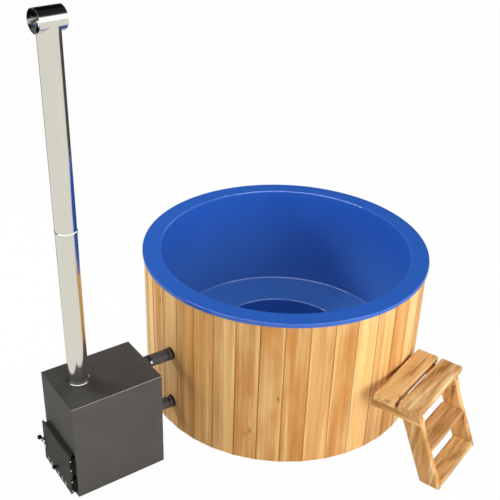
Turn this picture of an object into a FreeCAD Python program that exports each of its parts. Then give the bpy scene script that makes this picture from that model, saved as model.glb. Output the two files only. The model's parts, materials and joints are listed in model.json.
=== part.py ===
import FreeCAD, Part
import math
import os

V = FreeCAD.Vector

# Wood-fired hot tub: a round plastic liner clad in upright staves, an outside stove that heats the
# water through two hoses, a tall flue and a short flight of wooden steps.
# Millimetres. The origin is on the floor under the tub's axis, Z is up, and X runs from stove to tub.

# Liner
rim_radius = 900.0
rim_height = 1000.0
shell = 6.0
lip_height = 25.0
lip_round = 5.0
rim_round = 12.0
rim_width = 114.0
wall_taper = 29.0
bench_height = 302.0
bench_depth = 307.0
bench_round = 8.0
well_taper = 10.0
corner_round = 10.0

# Staves, hoops and base
stave_count = 40
stave_turn = -0.6
stave_thickness = 22.0
stave_gap = 0.4
stave_bevel = 4.0
stave_lift = 3.0
lip_clearance = 6.0
hoop_thickness = 20.0
hoop_height = 70.0
hoop_gap = 0.2
middle_hoop_height = 430.0
bearer_height = 74.0
bearer_width = 60.0
bearer_count = 5
prop_side = 60.0
prop_setback = 150.0

# Water pipes and hoses, one above the other
pipe_y = -70.0
upper_hose_height = 545.5
lower_hose_height = 187.0
pipe_radius = 30.0
pipe_wall = 3.0
pipe_reach = 62.0
fit_gap = 0.2
flange_radius = 52.0
flange_proud = 20.0
nut_radius = 45.0
nut_thickness = 20.0
grille_thickness = 4.0
grille_hole = 6.0
grille_circle = 15.0
grille_holes = 6
collar_radius = 39.0
collar_proud = 12.0
hose_wall = 6.8
hose_end_gap = 4.0
clamp_width = 12.0
clamp_thickness = 1.0
stove_clamp_inset = 48.0
tub_clamp_inset = 22.0
clamp_screw_length = 16.0
clamp_screw_width = 11.0
clamp_screw_height = 9.0
upper_screw_angle = 155.0
lower_screw_angle = 80.0

# Drain
drain_setback = 240.0
drain_y = 150.0
drain_axis_height = 37.0
strainer_radius = 45.0
strainer_thickness = 4.0
strainer_tail = 24.0
strainer_tail_length = 14.0
strainer_hole = 4.0
strainer_circle = 12.0
strainer_holes = 6
sump_radius = 30.0
sump_wall = 5.0
drain_pipe_radius = 20.0
drain_pipe_wall = 4.0
valve_radius = 30.0
valve_length = 80.0
valve_standoff = 17.0
valve_socket = 18.0
valve_ball_radius = 22.0
valve_ball_gap = 0.5
valve_neck_radius = 12.0
valve_neck_height = 8.0
valve_stem_radius = 6.0
valve_stem_proud = 4.0
running_gap = 0.05
outlet_radius = 24.0
outlet_length = 30.0
lever_length = 96.0
lever_width = 18.0
lever_thickness = 5.0
lever_round = 8.0

# Stove casing, firebox and grate
stove_gap = 205.0
stove_length = 550.0
stove_width = 399.0
stove_height = 624.0
stove_middle_y = -123.3
plate = 4.0
spigot_length = 60.0
firebox_wall = 5.0
firebox_back_gap = 70.0
stay_width = 30.0
stay_inset = 80.0
grate_height = 42.0
grate_bar = 12.0
grate_pitch = 30.0
grate_bars = 9
grate_end_gap = 20.0

# Fire door, collar and hinges, set out from the casing's front
door_near_y = -317.0
door_width = 365.0
door_bottom = 30.0
door_height = 281.0
door_thickness = 10.0
door_standoff = 26.0
door_round = 6.0
mouth_near_inset = 27.0
mouth_far_inset = 30.0
mouth_sill = 4.5
mouth_head = 4.0
collar_wall = 6.0
collar_depth = 20.0
seal_width = 5.0
touch_gap = 0.3
hinge_beside = 1.0
knuckle_radius = 7.0
knuckle_gap = 0.5
hinge_leaf = 3.0
hinge_height = 95.0
hinge_low = 95.5
hinge_high = 246.0
hinge_pin_radius = 3.5
hinge_pin_head = 6.0
fixed_leaf_width = 22.0
hinge_web = 7.0
bolt_spread = 33.0
bolt_radius = 3.0
bolt_head_radius = 5.0
bolt_head_height = 4.0
bolt_length = 14.0

# Air shutter on the inside of the door
slot_count = 6
slot_pitch = 47.3
slot_width = 18.0
slot_height = 28.0
slot_bottom = 38.0
slot_far_inset = 43.5
shutter_thickness = 2.0
shutter_margin = 2.0
shutter_side_margin = 1.5
shutter_top = 90.0
shutter_tab_half = 14.0
shutter_tab_top = 9.0
guide_height = 80.0
guide_radius = 3.0
guide_head_radius = 6.0
guide_head_thickness = 2.4
guide_inset = 40.0
slide_play = 0.3
air_knob_y = -131.0
air_knob_height = 103.0
air_knob_radius = 13.0
air_knob_out = 56.0
air_stem_radius = 4.0

# Door latch
latch_inset = 25.0
latch_height = 161.0
latch_stud_radius = 5.0
latch_head_radius = 8.0
latch_head_thickness = 3.5
latch_hub_radius = 9.0
latch_hub_thickness = 7.5
latch_rod_radius = 3.5
latch_bend_y = 4.0
latch_bend_z = 17.0
latch_ball_radius = 14.0
latch_ball_out = 28.0
latch_ball_y = 14.0
latch_ball_z = 45.0
tongue_length = 36.0
tongue_width = 10.0
tongue_thickness = 4.5
keeper_gap = 4.0
keeper_width = 7.0
keeper_play = 1.0
keeper_lip = 6.0
keeper_above = 12.0
keeper_below = 6.0

# Flue
flue_setback = 149.0
flue_y = -97.0
flue_radius = 57.0
flue_wall = 1.0
flue_joint_height = 1559.0
flue_top = 2560.0
duct_wall = 3.5
duct_reach = 40.0
ring_height = 16.0
ring_width = 6.0
joint_ring_height = 12.0
joint_ring_width = 2.5
coupler_length = 120.0
cap_radius = 58.0
cap_length = 144.0
cap_rise = 59.0
cap_turn = 7.0

# Steps, set out along and across a line that leaves the tub at this angle
steps_angle = -71.7
steps_middle = -89.3
platform_length = 570.0
platform_height = 498.0
platform_thickness = 46.0
platform_gap = 16.5
rear_board_depth = 137.0
board_gap = 19.5
front_board_depth = 141.0
board_round = 11.0
stringer_spread = 503.0
stringer_thickness = 40.0
platform_nosing = 18.34
stringer_depth = 128.5
stringer_slope = 0.42
stringer_round = 12.0
rail_height = 70.0
rail_overhang = 6.0
rail_tail = 22.0
rail_round = 8.0
middle_tread_height = 245.0
middle_tread_back = 5.1
middle_tread_depth = 143.0
middle_tread_thickness = 41.0
bottom_tread_height = 40.0
bottom_tread_thickness = 36.0
bottom_tread_inset = 18.8
bottom_tread_depth = 128.0
tread_round = 9.0
ledger_reach = 42.0
ledger_length = 220.0
ledger_end_gap = 12.0
ledger_height = 60.0
ledger_screw_radius = 4.0
ledger_screw_gap = 0.1
ledger_screw_head = 7.0
ledger_screw_head_height = 4.0
ledger_screw_bite = 14.0
ledger_screw_pitch = 80.0
ledger_screw_count = 3

# Places that follow from the sizes above
UP = (0, 0, 1)
ALONG = (1, 0, 0)
ACROSS = (0, 1, 0)
floor_height = bearer_height + shell
wall_top_radius = rim_radius - rim_width
wall_foot_radius = wall_top_radius - wall_taper
bench_edge_radius = wall_foot_radius - bench_depth
well_foot_radius = bench_edge_radius - well_taper
drain_x = well_foot_radius - drain_setback
prop_circle = bench_edge_radius + prop_setback
bearer_pitch = 2 * prop_circle / (bearer_count - 1)
cladding_face = rim_radius - shell - lip_clearance
stave_back = cladding_face - stave_thickness
stave_pitch = 360.0 / stave_count
rim_underside = rim_height - shell
pipe_bore = pipe_radius - pipe_wall
hose_bore = pipe_radius + fit_gap
hose_radius = hose_bore + hose_wall
stove_back = -cladding_face - stove_gap
stove_front = stove_back - stove_length
stove_near = stove_middle_y - stove_width / 2
stove_far = stove_middle_y + stove_width / 2
door_far_y = door_near_y + door_width
door_top = door_bottom + door_height
mouth = (
    door_near_y + mouth_near_inset,
    door_far_y - mouth_far_inset,
    door_bottom + mouth_sill,
    door_top - mouth_head,
)
door_back = stove_front - door_standoff
door_front = door_back - door_thickness
hinge_x = stove_front - hinge_leaf - knuckle_gap - knuckle_radius
hinge_y = door_near_y - hinge_beside
slide_travel = slot_pitch / 2
flue_x = stove_front + flue_setback
flue_bore = flue_radius - flue_wall
platform_underside = platform_height - platform_thickness
rail_underside = platform_underside - rail_height
rear_board_start = cladding_face + platform_gap
front_board_start = rear_board_start + rear_board_depth + board_gap
rail_front = front_board_start + front_board_depth - platform_nosing
stringer_foot = rail_front + stringer_slope * platform_underside
rail_rear = rear_board_start - rail_tail
steps_left = steps_middle - stringer_spread / 2
steps_right = steps_middle + stringer_spread / 2
ledger_front = cladding_face + ledger_reach
ledger_far = steps_right - stringer_thickness - ledger_end_gap
ledger_near = ledger_far - ledger_length


# Building blocks

def box(x0, x1, y0, y1, z0, z1):
    return Part.makeBox(x1 - x0, y1 - y0, z1 - z0, V(x0, y0, z0))


def rod(start, direction, radius, length):
    return Part.makeCylinder(radius, length, V(*start), V(*direction))


def tube(start, direction, outer, inner, length):
    return rod(start, direction, outer, length).cut(rod(start, direction, inner, length))


def bar(start, end, radius):
    """A round bar from one point to another."""
    along = V(*end) - V(*start)
    return Part.makeCylinder(radius, along.Length, V(*start), along)


def ball(center, radius, axis=UP):
    return Part.makeSphere(radius, V(*center), V(*axis))


def join(first, *others):
    return first.multiFuse(list(others)).removeSplitter()


def rounded_wire(corners, place):
    """Close a wire through corners (a, b, radius). place puts (a, b) into space."""
    ends = []
    edges = []
    count = len(corners)
    for index in range(count):
        a, b, radius = corners[index]
        here = V(a, b, 0)
        if radius == 0:
            ends.append((here, here))
            continue
        before = corners[index - 1]
        after = corners[(index + 1) % count]
        back = (V(before[0], before[1], 0) - here).normalize()
        ahead = (V(after[0], after[1], 0) - here).normalize()
        half = back.getAngle(ahead) / 2
        reach = radius / math.tan(half)
        bisector = (back + ahead).normalize()
        start = here + back * reach
        middle = here + bisector * (radius / math.sin(half) - radius)
        end = here + ahead * reach
        ends.append((start, end))
        arc = [place(p.x, p.y) for p in (start, middle, end)]
        edges.append(Part.Arc(*arc).toShape())
    for index in range(count):
        start = ends[index - 1][1]
        end = ends[index][0]
        if (end - start).Length > 1e-6:
            edges.append(Part.makeLine(place(start.x, start.y), place(end.x, end.y)))
    return Part.Wire(Part.__sortEdges__(edges))


def turned(corners):
    """Spin a profile of (radius, height, rounding) corners about the tub's axis."""
    face = Part.Face(rounded_wire(corners, lambda r, z: V(r, 0, z)))
    return face.revolve(V(0, 0, 0), V(*UP), 360)


def prism_x(corners, x0, x1):
    face = Part.Face(rounded_wire(corners, lambda y, z: V(x0, y, z)))
    return face.extrude(V(x1 - x0, 0, 0))


def prism_y(corners, y0, y1):
    face = Part.Face(rounded_wire(corners, lambda x, z: V(x, y0, z)))
    return face.extrude(V(0, y1 - y0, 0))


def prism_z(corners, z0, z1):
    face = Part.Face(rounded_wire(corners, lambda x, y: V(x, y, z0)))
    return face.extrude(V(0, 0, z1 - z0))


def frame_corners(y0, y1, z0, z1, radius=0):
    return [(y0, z0, radius), (y1, z0, radius), (y1, z1, radius), (y0, z1, radius)]


def spun(shape, angle):
    """A copy of a shape turned about the tub's axis."""
    copy = shape.copy()
    copy.rotate(V(0, 0, 0), V(*UP), angle)
    return copy


def soften(shape, radius, edges=None):
    return shape.makeFillet(radius, edges or shape.Edges)


def save(node, *solids):
    shape = solids[0] if len(solids) == 1 else Part.makeCompound(list(solids))
    shape.exportStep("parts/" + node + ".step")
    print(node, len(shape.Solids), "solids", shape.isValid())


# Tub

def water_space():
    """What the liner is hollowed by, up past the rim."""
    above = rim_height + shell
    beyond = rim_radius + shell
    return turned([
        (0, floor_height, 0),
        (well_foot_radius, floor_height, corner_round),
        (bench_edge_radius, bench_height, bench_round),
        (wall_foot_radius, bench_height, corner_round),
        (wall_top_radius, rim_height, rim_round),
        (beyond, rim_height, 0),
        (beyond, above, 0),
        (0, above, 0),
    ])


def liner_block():
    """The liner's outside as a filled block."""
    return turned([
        (0, floor_height - shell, 0),
        (well_foot_radius + shell, floor_height - shell, corner_round + shell),
        (bench_edge_radius + shell, bench_height - shell, bench_round),
        (wall_foot_radius + shell, bench_height - shell, corner_round + shell),
        (wall_top_radius + shell, rim_underside, rim_round - shell),
        (rim_radius - shell, rim_underside, 0),
        (rim_radius - shell, rim_height - lip_height, 0),
        (rim_radius, rim_height - lip_height, 0),
        (rim_radius, rim_height, lip_round),
        (0, rim_height, 0),
    ])


def cladding_block():
    """The staves' outside as a filled block with one flat for each stave."""
    reach = cladding_face / math.cos(math.radians(stave_pitch / 2))
    corners = []
    for index in range(stave_count):
        angle = math.radians(stave_turn + index * stave_pitch)
        corners.append((reach * math.cos(angle), reach * math.sin(angle), 0))
    return prism_z(corners, 0, rim_height)


def stave():
    """One upright board on the X axis, with its outer edges bevelled."""
    slope = math.tan(math.radians(stave_pitch / 2))
    shoulder = cladding_face - stave_bevel
    back_half = stave_back * slope - stave_gap / 2
    shoulder_half = shoulder * slope - stave_gap / 2
    face_half = shoulder_half - stave_bevel / 2
    corners = [
        (stave_back, -back_half, 0),
        (shoulder, -shoulder_half, 0),
        (cladding_face, -face_half, 0),
        (cladding_face, face_half, 0),
        (shoulder, shoulder_half, 0),
        (stave_back, back_half, 0),
    ]
    return prism_z(corners, stave_lift, rim_underside)


def staves(holes):
    boards = []
    for index in range(stave_count):
        board = spun(stave(), stave_turn + (index + 0.5) * stave_pitch)
        for hole in holes:
            if board.BoundBox.intersect(hole.BoundBox):
                board = board.cut(hole)
        boards.append(board)
    return boards


def hoop(bottom):
    outer = stave_back - hoop_gap
    return tube((0, 0, bottom), UP, outer, outer - hoop_thickness, hoop_height)


def bearer_lines():
    first = -(bearer_count - 1) / 2 * bearer_pitch
    return [first + index * bearer_pitch for index in range(bearer_count)]


def bearers():
    """Floor timbers whose ends follow the inside of the staves."""
    limit = rod((0, 0, 0), UP, stave_back - hoop_gap, bearer_height)
    half = bearer_width / 2
    return [
        box(-stave_back, stave_back, y - half, y + half, 0, bearer_height).common(limit)
        for y in bearer_lines()
    ]


def bench_props():
    """Posts from the bearers up to the bench, on one circle."""
    half = prop_side / 2
    top = bench_height - shell
    props = []
    for y in bearer_lines():
        x = math.sqrt(max(prop_circle ** 2 - y ** 2, 0))
        for place in sorted({-x, x}):
            props.append(box(place - half, place + half, y - half, y + half, bearer_height, top))
    return props


def wall_radius(height):
    """Inside radius of the liner's wall or, under the bench, of its foot well."""
    if height > bench_height:
        share = (height - bench_height) / (rim_height - bench_height)
        return wall_foot_radius + share * (wall_top_radius - wall_foot_radius)
    share = (height - floor_height) / (bench_height - floor_height)
    return well_foot_radius + share * (bench_edge_radius - well_foot_radius)


def wet_face(height):
    """X of the wet side of the wall on the line of the pipes."""
    return -math.sqrt(wall_radius(height) ** 2 - pipe_y ** 2)


def stave_face():
    """X of the staves' outside on the line of the pipes."""
    return -math.sqrt(cladding_face ** 2 - pipe_y ** 2)


def wall_pipe(height, water):
    """Pipe through staves and liner, with a flange that fits the wet wall."""
    end = wet_face(height) + flange_proud
    start = stave_face() - pipe_reach
    body = rod((start, pipe_y, height), ALONG, pipe_radius, end - start)
    saddle = rod((end - flange_radius, pipe_y, height), ALONG, flange_radius, flange_radius)
    bore = rod((start, pipe_y, height), ALONG, pipe_bore, end - start)
    return join(body, saddle.common(water)).cut(bore)


def wall_grille(height):
    """Drilled disc that keeps hair and leaves out of the pipe."""
    face = wet_face(height) + flange_proud
    disc = rod((face, pipe_y, height), ALONG, flange_radius, grille_thickness)
    disc = soften(disc, grille_thickness / 4, [e for e in disc.Edges if e.BoundBox.XMin > face + 0.1])
    for index in range(grille_holes + 1):
        turn = 2 * math.pi * index / grille_holes
        reach = grille_circle if index < grille_holes else 0
        place = (face, pipe_y + reach * math.cos(turn), height + reach * math.sin(turn))
        disc = disc.cut(rod(place, ALONG, grille_hole, grille_thickness))
    return disc


def lock_nut(height, block):
    """Nut on the dry side, cut to the curve of the liner."""
    start = wet_face(height) - shell - nut_thickness
    nut = tube((start, pipe_y, height), ALONG, nut_radius, hose_bore, nut_thickness * 2)
    return nut.cut(block)


def wall_collar(height, cladding):
    """Cover ring over the hole in the staves, cut to their flats."""
    start = stave_face() - collar_proud
    ring = tube((start, pipe_y, height), ALONG, collar_radius, hose_bore, collar_proud * 2)
    return ring.cut(cladding)


def hose(height):
    start = stove_back + hose_end_gap
    length = stave_face() - collar_proud - touch_gap - start
    return tube((start, pipe_y, height), ALONG, hose_radius, hose_bore, length)


def hose_clamp(x, height, angle):
    """Band round a hose with its screw housing on one side."""
    start = (x - clamp_width / 2, pipe_y, height)
    inner = hose_radius
    band = tube(start, ALONG, inner + clamp_thickness, inner, clamp_width)
    housing = box(
        x - clamp_screw_width / 2, x + clamp_screw_width / 2,
        inner, inner + clamp_screw_height,
        -clamp_screw_length / 2, clamp_screw_length / 2,
    )
    housing.rotate(V(0, 0, 0), V(*ALONG), angle)
    housing.translate(V(0, pipe_y, height))
    return join(band, housing.cut(rod(start, ALONG, inner, clamp_width)))


def hose_clamps():
    stove_end = stove_back + hose_end_gap + stove_clamp_inset
    tub_end = stave_face() - collar_proud - tub_clamp_inset
    return [
        hose_clamp(stove_end, upper_hose_height, upper_screw_angle),
        hose_clamp(tub_end, upper_hose_height, upper_screw_angle + 180),
        hose_clamp(stove_end, lower_hose_height, lower_screw_angle + 180),
        hose_clamp(tub_end, lower_hose_height, lower_screw_angle),
    ]


def build_tub():
    water = water_space()
    block = liner_block()
    cladding = cladding_block()
    heights = (upper_hose_height, lower_hose_height)
    reach = cladding_face + pipe_reach
    pipe_holes = [rod((-reach, pipe_y, z), ALONG, hose_bore, reach) for z in heights]
    drain_hole = rod((drain_x, drain_y, 0), UP, strainer_tail + fit_gap, bench_height)
    drain_way = rod((drain_x, drain_y, drain_axis_height), ALONG, drain_pipe_radius + fit_gap, rim_radius)
    liner = block.cut(water).cut(drain_hole)
    for hole in pipe_holes:
        liner = liner.cut(hole)
    save("liner", liner)
    save("cladding_staves", *staves(pipe_holes + [drain_way] + ledger_screw_holes()))
    save("upper_hoop", hoop(rim_underside - hoop_height))
    save("middle_hoop", hoop(middle_hoop_height))
    save("lower_hoop", hoop(bearer_height))
    save("base_bearers", *bearers())
    save("bench_props", *bench_props())
    save("upper_wall_pipe", wall_pipe(upper_hose_height, water))
    save("lower_wall_pipe", wall_pipe(lower_hose_height, water))
    save("wall_grilles", *[wall_grille(z) for z in heights])
    save("wall_lock_nuts", *[lock_nut(z, block) for z in heights])
    save("wall_collars", *[wall_collar(z, cladding) for z in heights])
    save("upper_hose", hose(upper_hose_height))
    save("lower_hose", hose(lower_hose_height))
    save("hose_clamps", *hose_clamps())


# Drain

def drain_strainer():
    """Drilled cap on the floor of the foot well, with a tail through the floor."""
    cap = rod((drain_x, drain_y, floor_height), UP, strainer_radius, strainer_thickness)
    cap = soften(cap, strainer_thickness / 2, [e for e in cap.Edges if e.BoundBox.ZMin > floor_height + 0.1])
    tail_start = bearer_height - strainer_tail_length
    tail_length = floor_height - tail_start
    tail_wall = strainer_tail - sump_wall
    tail = tube((drain_x, drain_y, tail_start), UP, strainer_tail, tail_wall, tail_length)
    cap = join(cap, tail)
    for index in range(strainer_holes):
        turn = 2 * math.pi * index / strainer_holes
        x = drain_x + strainer_circle * math.cos(turn)
        y = drain_y + strainer_circle * math.sin(turn)
        cap = cap.cut(rod((x, y, floor_height), UP, strainer_hole, strainer_thickness))
    return cap


def drain_sump():
    """Cup under the floor that turns the flow into the drain pipe."""
    inner = strainer_tail + touch_gap
    outer = max(sump_radius, inner + sump_wall)
    bottom = drain_axis_height - drain_pipe_radius - sump_wall
    cup = rod((drain_x, drain_y, bottom), UP, outer, bearer_height - bottom)
    inside = rod((drain_x, drain_y, bottom + sump_wall), UP, inner, bearer_height)
    port = rod((drain_x, drain_y, drain_axis_height), ALONG, drain_pipe_radius + fit_gap, outer)
    return cup.cut(inside).cut(port)


def valve_start():
    return cladding_face + valve_standoff


def valve_middle():
    return valve_start() + valve_socket + (valve_length - valve_socket) / 2


def drain_pipe():
    start = drain_x + strainer_tail + touch_gap
    length = valve_start() + valve_socket - start
    bore = drain_pipe_radius - drain_pipe_wall
    return tube((start, drain_y, drain_axis_height), ALONG, drain_pipe_radius, bore, length)


def valve_body():
    """Ball valve body with a socket for the pipe, a neck for the stem and a threaded-size outlet."""
    start = (valve_start(), drain_y, drain_axis_height)
    center = (valve_middle(), drain_y, drain_axis_height)
    bore = drain_pipe_radius - drain_pipe_wall
    barrel = rod(start, ALONG, valve_radius, valve_length)
    outlet = rod(start, ALONG, outlet_radius, valve_length + outlet_length)
    neck = rod(center, UP, valve_neck_radius, valve_radius + valve_neck_height)
    body = join(barrel, outlet, neck)
    body = body.cut(rod(start, ALONG, bore, valve_length + outlet_length))
    body = body.cut(rod(start, ALONG, drain_pipe_radius + fit_gap, valve_socket))
    body = body.cut(ball(center, valve_ball_radius + valve_ball_gap))
    return body.cut(rod(center, UP, valve_stem_radius + running_gap, valve_radius + valve_neck_height))


def stem_top():
    return drain_axis_height + valve_radius + valve_neck_height + valve_stem_proud


def drain_ball():
    """Ball with its stem. Closed at rest, so its bore lies across the pipe."""
    center = (valve_middle(), drain_y, drain_axis_height)
    bore = drain_pipe_radius - drain_pipe_wall
    stem = rod(center, UP, valve_stem_radius, stem_top() - drain_axis_height)
    across = (valve_middle(), drain_y - valve_radius, drain_axis_height)
    return join(ball(center, valve_ball_radius), stem).cut(rod(across, ACROSS, bore, valve_radius * 2))


def drain_lever():
    half = lever_width / 2
    x = valve_middle()
    round_end = min(lever_round, half - 0.5)
    corners = [
        (x - half, drain_y - half, round_end),
        (x + half, drain_y - half, round_end),
        (x + half, drain_y + lever_length, round_end),
        (x - half, drain_y + lever_length, round_end),
    ]
    return prism_z(corners, stem_top(), stem_top() + lever_thickness)


def build_drain():
    save("drain_strainer", drain_strainer())
    save("drain_sump", drain_sump())
    save("drain_pipe", drain_pipe())
    save("drain_valve_body", valve_body())
    save("drain_ball", drain_ball())
    save("drain_lever", drain_lever())


# Stove

def stove_casing():
    """Welded water jacket, open on top, with holes for the mouth and the two spigots."""
    low = plate
    high = stove_height - plate
    outer = box(stove_front, stove_back, stove_near, stove_far, 0, high)
    inner = box(stove_front + plate, stove_back - plate, stove_near + plate, stove_far - plate, low, high)
    casing = outer.cut(inner).cut(box(stove_front, stove_front + plate, *mouth))
    for height in (upper_hose_height, lower_hose_height):
        casing = casing.cut(rod((stove_back - plate, pipe_y, height), ALONG, pipe_bore, plate))
    return casing


def stove_top():
    top = box(stove_front, stove_back, stove_near, stove_far, stove_height - plate, stove_height)
    return top.cut(rod((flue_x, flue_y, 0), UP, duct_radius() + fit_gap, stove_height))


def duct_radius():
    """Outside of the flue's spigot, which fits inside the flue."""
    return flue_bore - touch_gap


def firebox():
    """Fire chamber inside the water jacket, open to the mouth and to the flue duct."""
    y0, y1, z0, z1 = mouth
    front = stove_front + plate
    back = stove_back - firebox_back_gap
    wall = firebox_wall
    outer = box(front, back, y0 - wall, y1 + wall, z0 - wall, z1 + wall)
    inner = box(front, back - wall, y0, y1, z0, z1)
    throat = rod((flue_x, flue_y, z1), UP, duct_radius() - duct_wall, wall)
    return outer.cut(inner).cut(throat)


def firebox_stays():
    """Two bars that carry the firebox on the casing's floor."""
    y0, y1, z0, z1 = mouth
    bottom = z0 - firebox_wall
    back = stove_back - firebox_back_gap
    places = (stove_front + plate + stay_inset, back - stay_inset)
    half = stay_width / 2
    return [box(x - half, x + half, y0, y1, plate, bottom) for x in places]


def flue_duct():
    """Smoke pipe from the firebox through the water, ending in a spigot above the top."""
    start = mouth[3] + firebox_wall
    length = stove_height + duct_reach - start
    outer = duct_radius()
    return tube((flue_x, flue_y, start), UP, outer, outer - duct_wall, length)


def fire_grate():
    """Cast grate: bars along the fire on two cross bars with feet."""
    y0, y1, floor, head = mouth
    front = stove_front + plate + grate_end_gap
    back = stove_back - firebox_back_gap - firebox_wall - grate_end_gap
    middle = (y0 + y1) / 2
    half = grate_bar / 2
    first = middle - (grate_bars - 1) / 2 * grate_pitch
    top = floor + grate_height
    pieces = []
    for index in range(grate_bars):
        y = first + index * grate_pitch
        pieces.append(box(front, back, y - half, y + half, top - grate_bar, top))
    last = first + (grate_bars - 1) * grate_pitch
    for x in (front + grate_pitch, back - grate_pitch):
        beam_top = top - grate_bar
        pieces.append(box(x - half, x + half, first - half, last + half, beam_top - grate_bar, beam_top))
        for y in (first, last):
            pieces.append(box(x - half, x + half, y - half, y + half, floor, beam_top))
    return join(*pieces)


def stove_spigots():
    return [
        tube((stove_back, pipe_y, height), ALONG, pipe_radius, pipe_bore, spigot_length)
        for height in (upper_hose_height, lower_hose_height)
    ]


def mouth_frame(near_step, far_step, x0, x1):
    """A frame round the mouth between two offsets from its edge."""
    y0, y1, z0, z1 = mouth
    outer = frame_corners(y0 - far_step, y1 + far_step, z0 - far_step, z1 + far_step)
    inner = frame_corners(y0 - near_step, y1 + near_step, z0 - near_step, z1 + near_step)
    return prism_x(outer, x0, x1).cut(prism_x(inner, x0, x1))


def door_collar():
    return mouth_frame(0, collar_wall, stove_front - collar_depth, stove_front)


def door_seal():
    """Square rope that the closed door bears on."""
    inset = (collar_wall - seal_width) / 2
    front = door_back + touch_gap
    return mouth_frame(inset, collar_wall - inset, front, stove_front - collar_depth)


# Door hinges

def hinge_parts(middle):
    """Heights of one hinge: its foot, the foot and the head of the door's knuckle, and its top."""
    foot = middle - hinge_height / 2
    third = hinge_height / 3
    return foot, foot + third, foot + 2 * third, foot + hinge_height


def casing_hinge(middle):
    """Leaf on the casing with the lower and upper knuckles."""
    foot, door_foot, door_head, top = hinge_parts(middle)
    leaf_far = hinge_y - hinge_web / 2 + fixed_leaf_width
    pieces = [box(stove_front - hinge_leaf, stove_front, hinge_y - hinge_web / 2, leaf_far, foot, top)]
    for low, high in ((foot, door_foot - knuckle_gap), (door_head + knuckle_gap, top)):
        pieces.append(rod((hinge_x, hinge_y, low), UP, knuckle_radius, high - low))
        pieces.append(box(hinge_x, stove_front, hinge_y - hinge_web / 2, hinge_y + hinge_web / 2, low, high))
    leaf = join(*pieces)
    return leaf.cut(rod((hinge_x, hinge_y, foot), UP, hinge_pin_radius + running_gap, hinge_height))


def door_hinge(middle):
    """Leaf on the door's edge with the middle knuckle."""
    foot, door_foot, door_head, top = hinge_parts(middle)
    leaf_near = door_near_y - hinge_leaf
    leaf_back = hinge_x - knuckle_radius - knuckle_gap
    pieces = [
        box(door_front, leaf_back, leaf_near, door_near_y, foot, top),
        box(leaf_back, hinge_x, leaf_near, door_near_y, door_foot, door_head),
        rod((hinge_x, hinge_y, door_foot), UP, knuckle_radius, door_head - door_foot),
    ]
    leaf = join(*pieces).cut(rod((hinge_x, hinge_y, foot), UP, hinge_pin_radius + running_gap, hinge_height))
    for hole in bolt_holes(middle):
        leaf = leaf.cut(hole)
    return leaf


def hinge_pin(middle):
    foot = middle - hinge_height / 2
    shaft = rod((hinge_x, hinge_y, foot), UP, hinge_pin_radius, hinge_height)
    head_center = (hinge_x, hinge_y, foot - hinge_pin_head)
    neck = rod(head_center, UP, hinge_pin_radius, hinge_pin_head)
    return join(shaft, neck, ball(head_center, hinge_pin_head))


def bolt_places(middle):
    x = (door_front + door_back) / 2
    return [(x, middle - bolt_spread), (x, middle + bolt_spread)]


def bolt_holes(middle):
    start = door_near_y - hinge_leaf
    radius = bolt_radius + running_gap
    return [rod((x, start, z), ACROSS, radius, bolt_length) for x, z in bolt_places(middle)]


def hinge_bolts(middle):
    face = door_near_y - hinge_leaf
    bolts = []
    for x, z in bolt_places(middle):
        shank = rod((x, face, z), ACROSS, bolt_radius, bolt_length)
        head = rod((x, face - bolt_head_height, z), ACROSS, bolt_head_radius, bolt_head_height)
        outer = [e for e in head.Edges if e.BoundBox.YMax < face - 0.1]
        bolts.append(join(soften(head, bolt_head_height / 3, outer), shank))
    return bolts


# Door, air shutter and latch

def slot_lines():
    first = door_far_y - slot_far_inset
    return [first - index * slot_pitch for index in range(slot_count)]


def slots(shift, x0, x1):
    half = slot_width / 2
    top = slot_bottom + slot_height
    return [
        prism_x(frame_corners(y + shift - half, y + shift + half, slot_bottom, top, half - 0.5), x0, x1)
        for y in slot_lines()
    ]


def long_slot(y, height, radius, x0, x1):
    """Slot for a stud or stem that runs towards the hinge by the shutter's travel."""
    wide = radius + slide_play
    corners = frame_corners(y - slide_travel - wide, y + wide, height - wide, height + wide, wide - 0.05)
    return prism_x(corners, x0, x1)


def fire_door():
    corners = frame_corners(door_near_y, door_far_y, door_bottom, door_top, door_round)
    door = prism_x(corners, door_front, door_back)
    door = door.cut(Part.makeCompound(slots(0, door_front, door_back)))
    door = door.cut(long_slot(air_knob_y, air_knob_height, air_stem_radius, door_front, door_back))
    for middle in (hinge_low, hinge_high):
        for hole in bolt_holes(middle):
            door = door.cut(hole)
    return door


def shutter_faces():
    """X of the shutter's front and back."""
    front = door_back + touch_gap
    return front, front + shutter_thickness


def shutter_span():
    """Y of the shutter's two ends at rest."""
    lines = slot_lines()
    spare = slot_width / 2 + shutter_side_margin
    return lines[-1] - spare, lines[0] + spare


def guide_lines():
    near, far = shutter_span()
    return [near + guide_inset + slide_travel, far - guide_inset]


def air_shutter():
    """Sliding plate whose slots lie between the door's slots at rest, with a tab for the knob."""
    front, back = shutter_faces()
    near, far = shutter_span()
    band = box(front, back, near, far, slot_bottom - shutter_margin, shutter_top)
    tab_top = air_knob_height + shutter_tab_top
    tab = box(front, back, air_knob_y - shutter_tab_half, air_knob_y + shutter_tab_half, shutter_top, tab_top)
    shutter = join(band, tab)
    openings = slots(slide_travel, front, back)[1:]
    shutter = shutter.cut(Part.makeCompound(openings))
    for y in guide_lines():
        wide = guide_radius + slide_play
        corners = frame_corners(
            y - wide, y + slide_travel + wide, guide_height - wide, guide_height + wide, wide - 0.05)
        shutter = shutter.cut(prism_x(corners, front, back))
    return shutter


def shutter_studs():
    """Headed studs on the back of the door that the shutter hangs and slides on."""
    front, back = shutter_faces()
    studs = []
    for y in guide_lines():
        shank = rod((door_back, y, guide_height), ALONG, guide_radius, back + touch_gap - door_back)
        head = rod((back + touch_gap, y, guide_height), ALONG, guide_head_radius, guide_head_thickness)
        studs.append(join(shank, head))
    return studs


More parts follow.
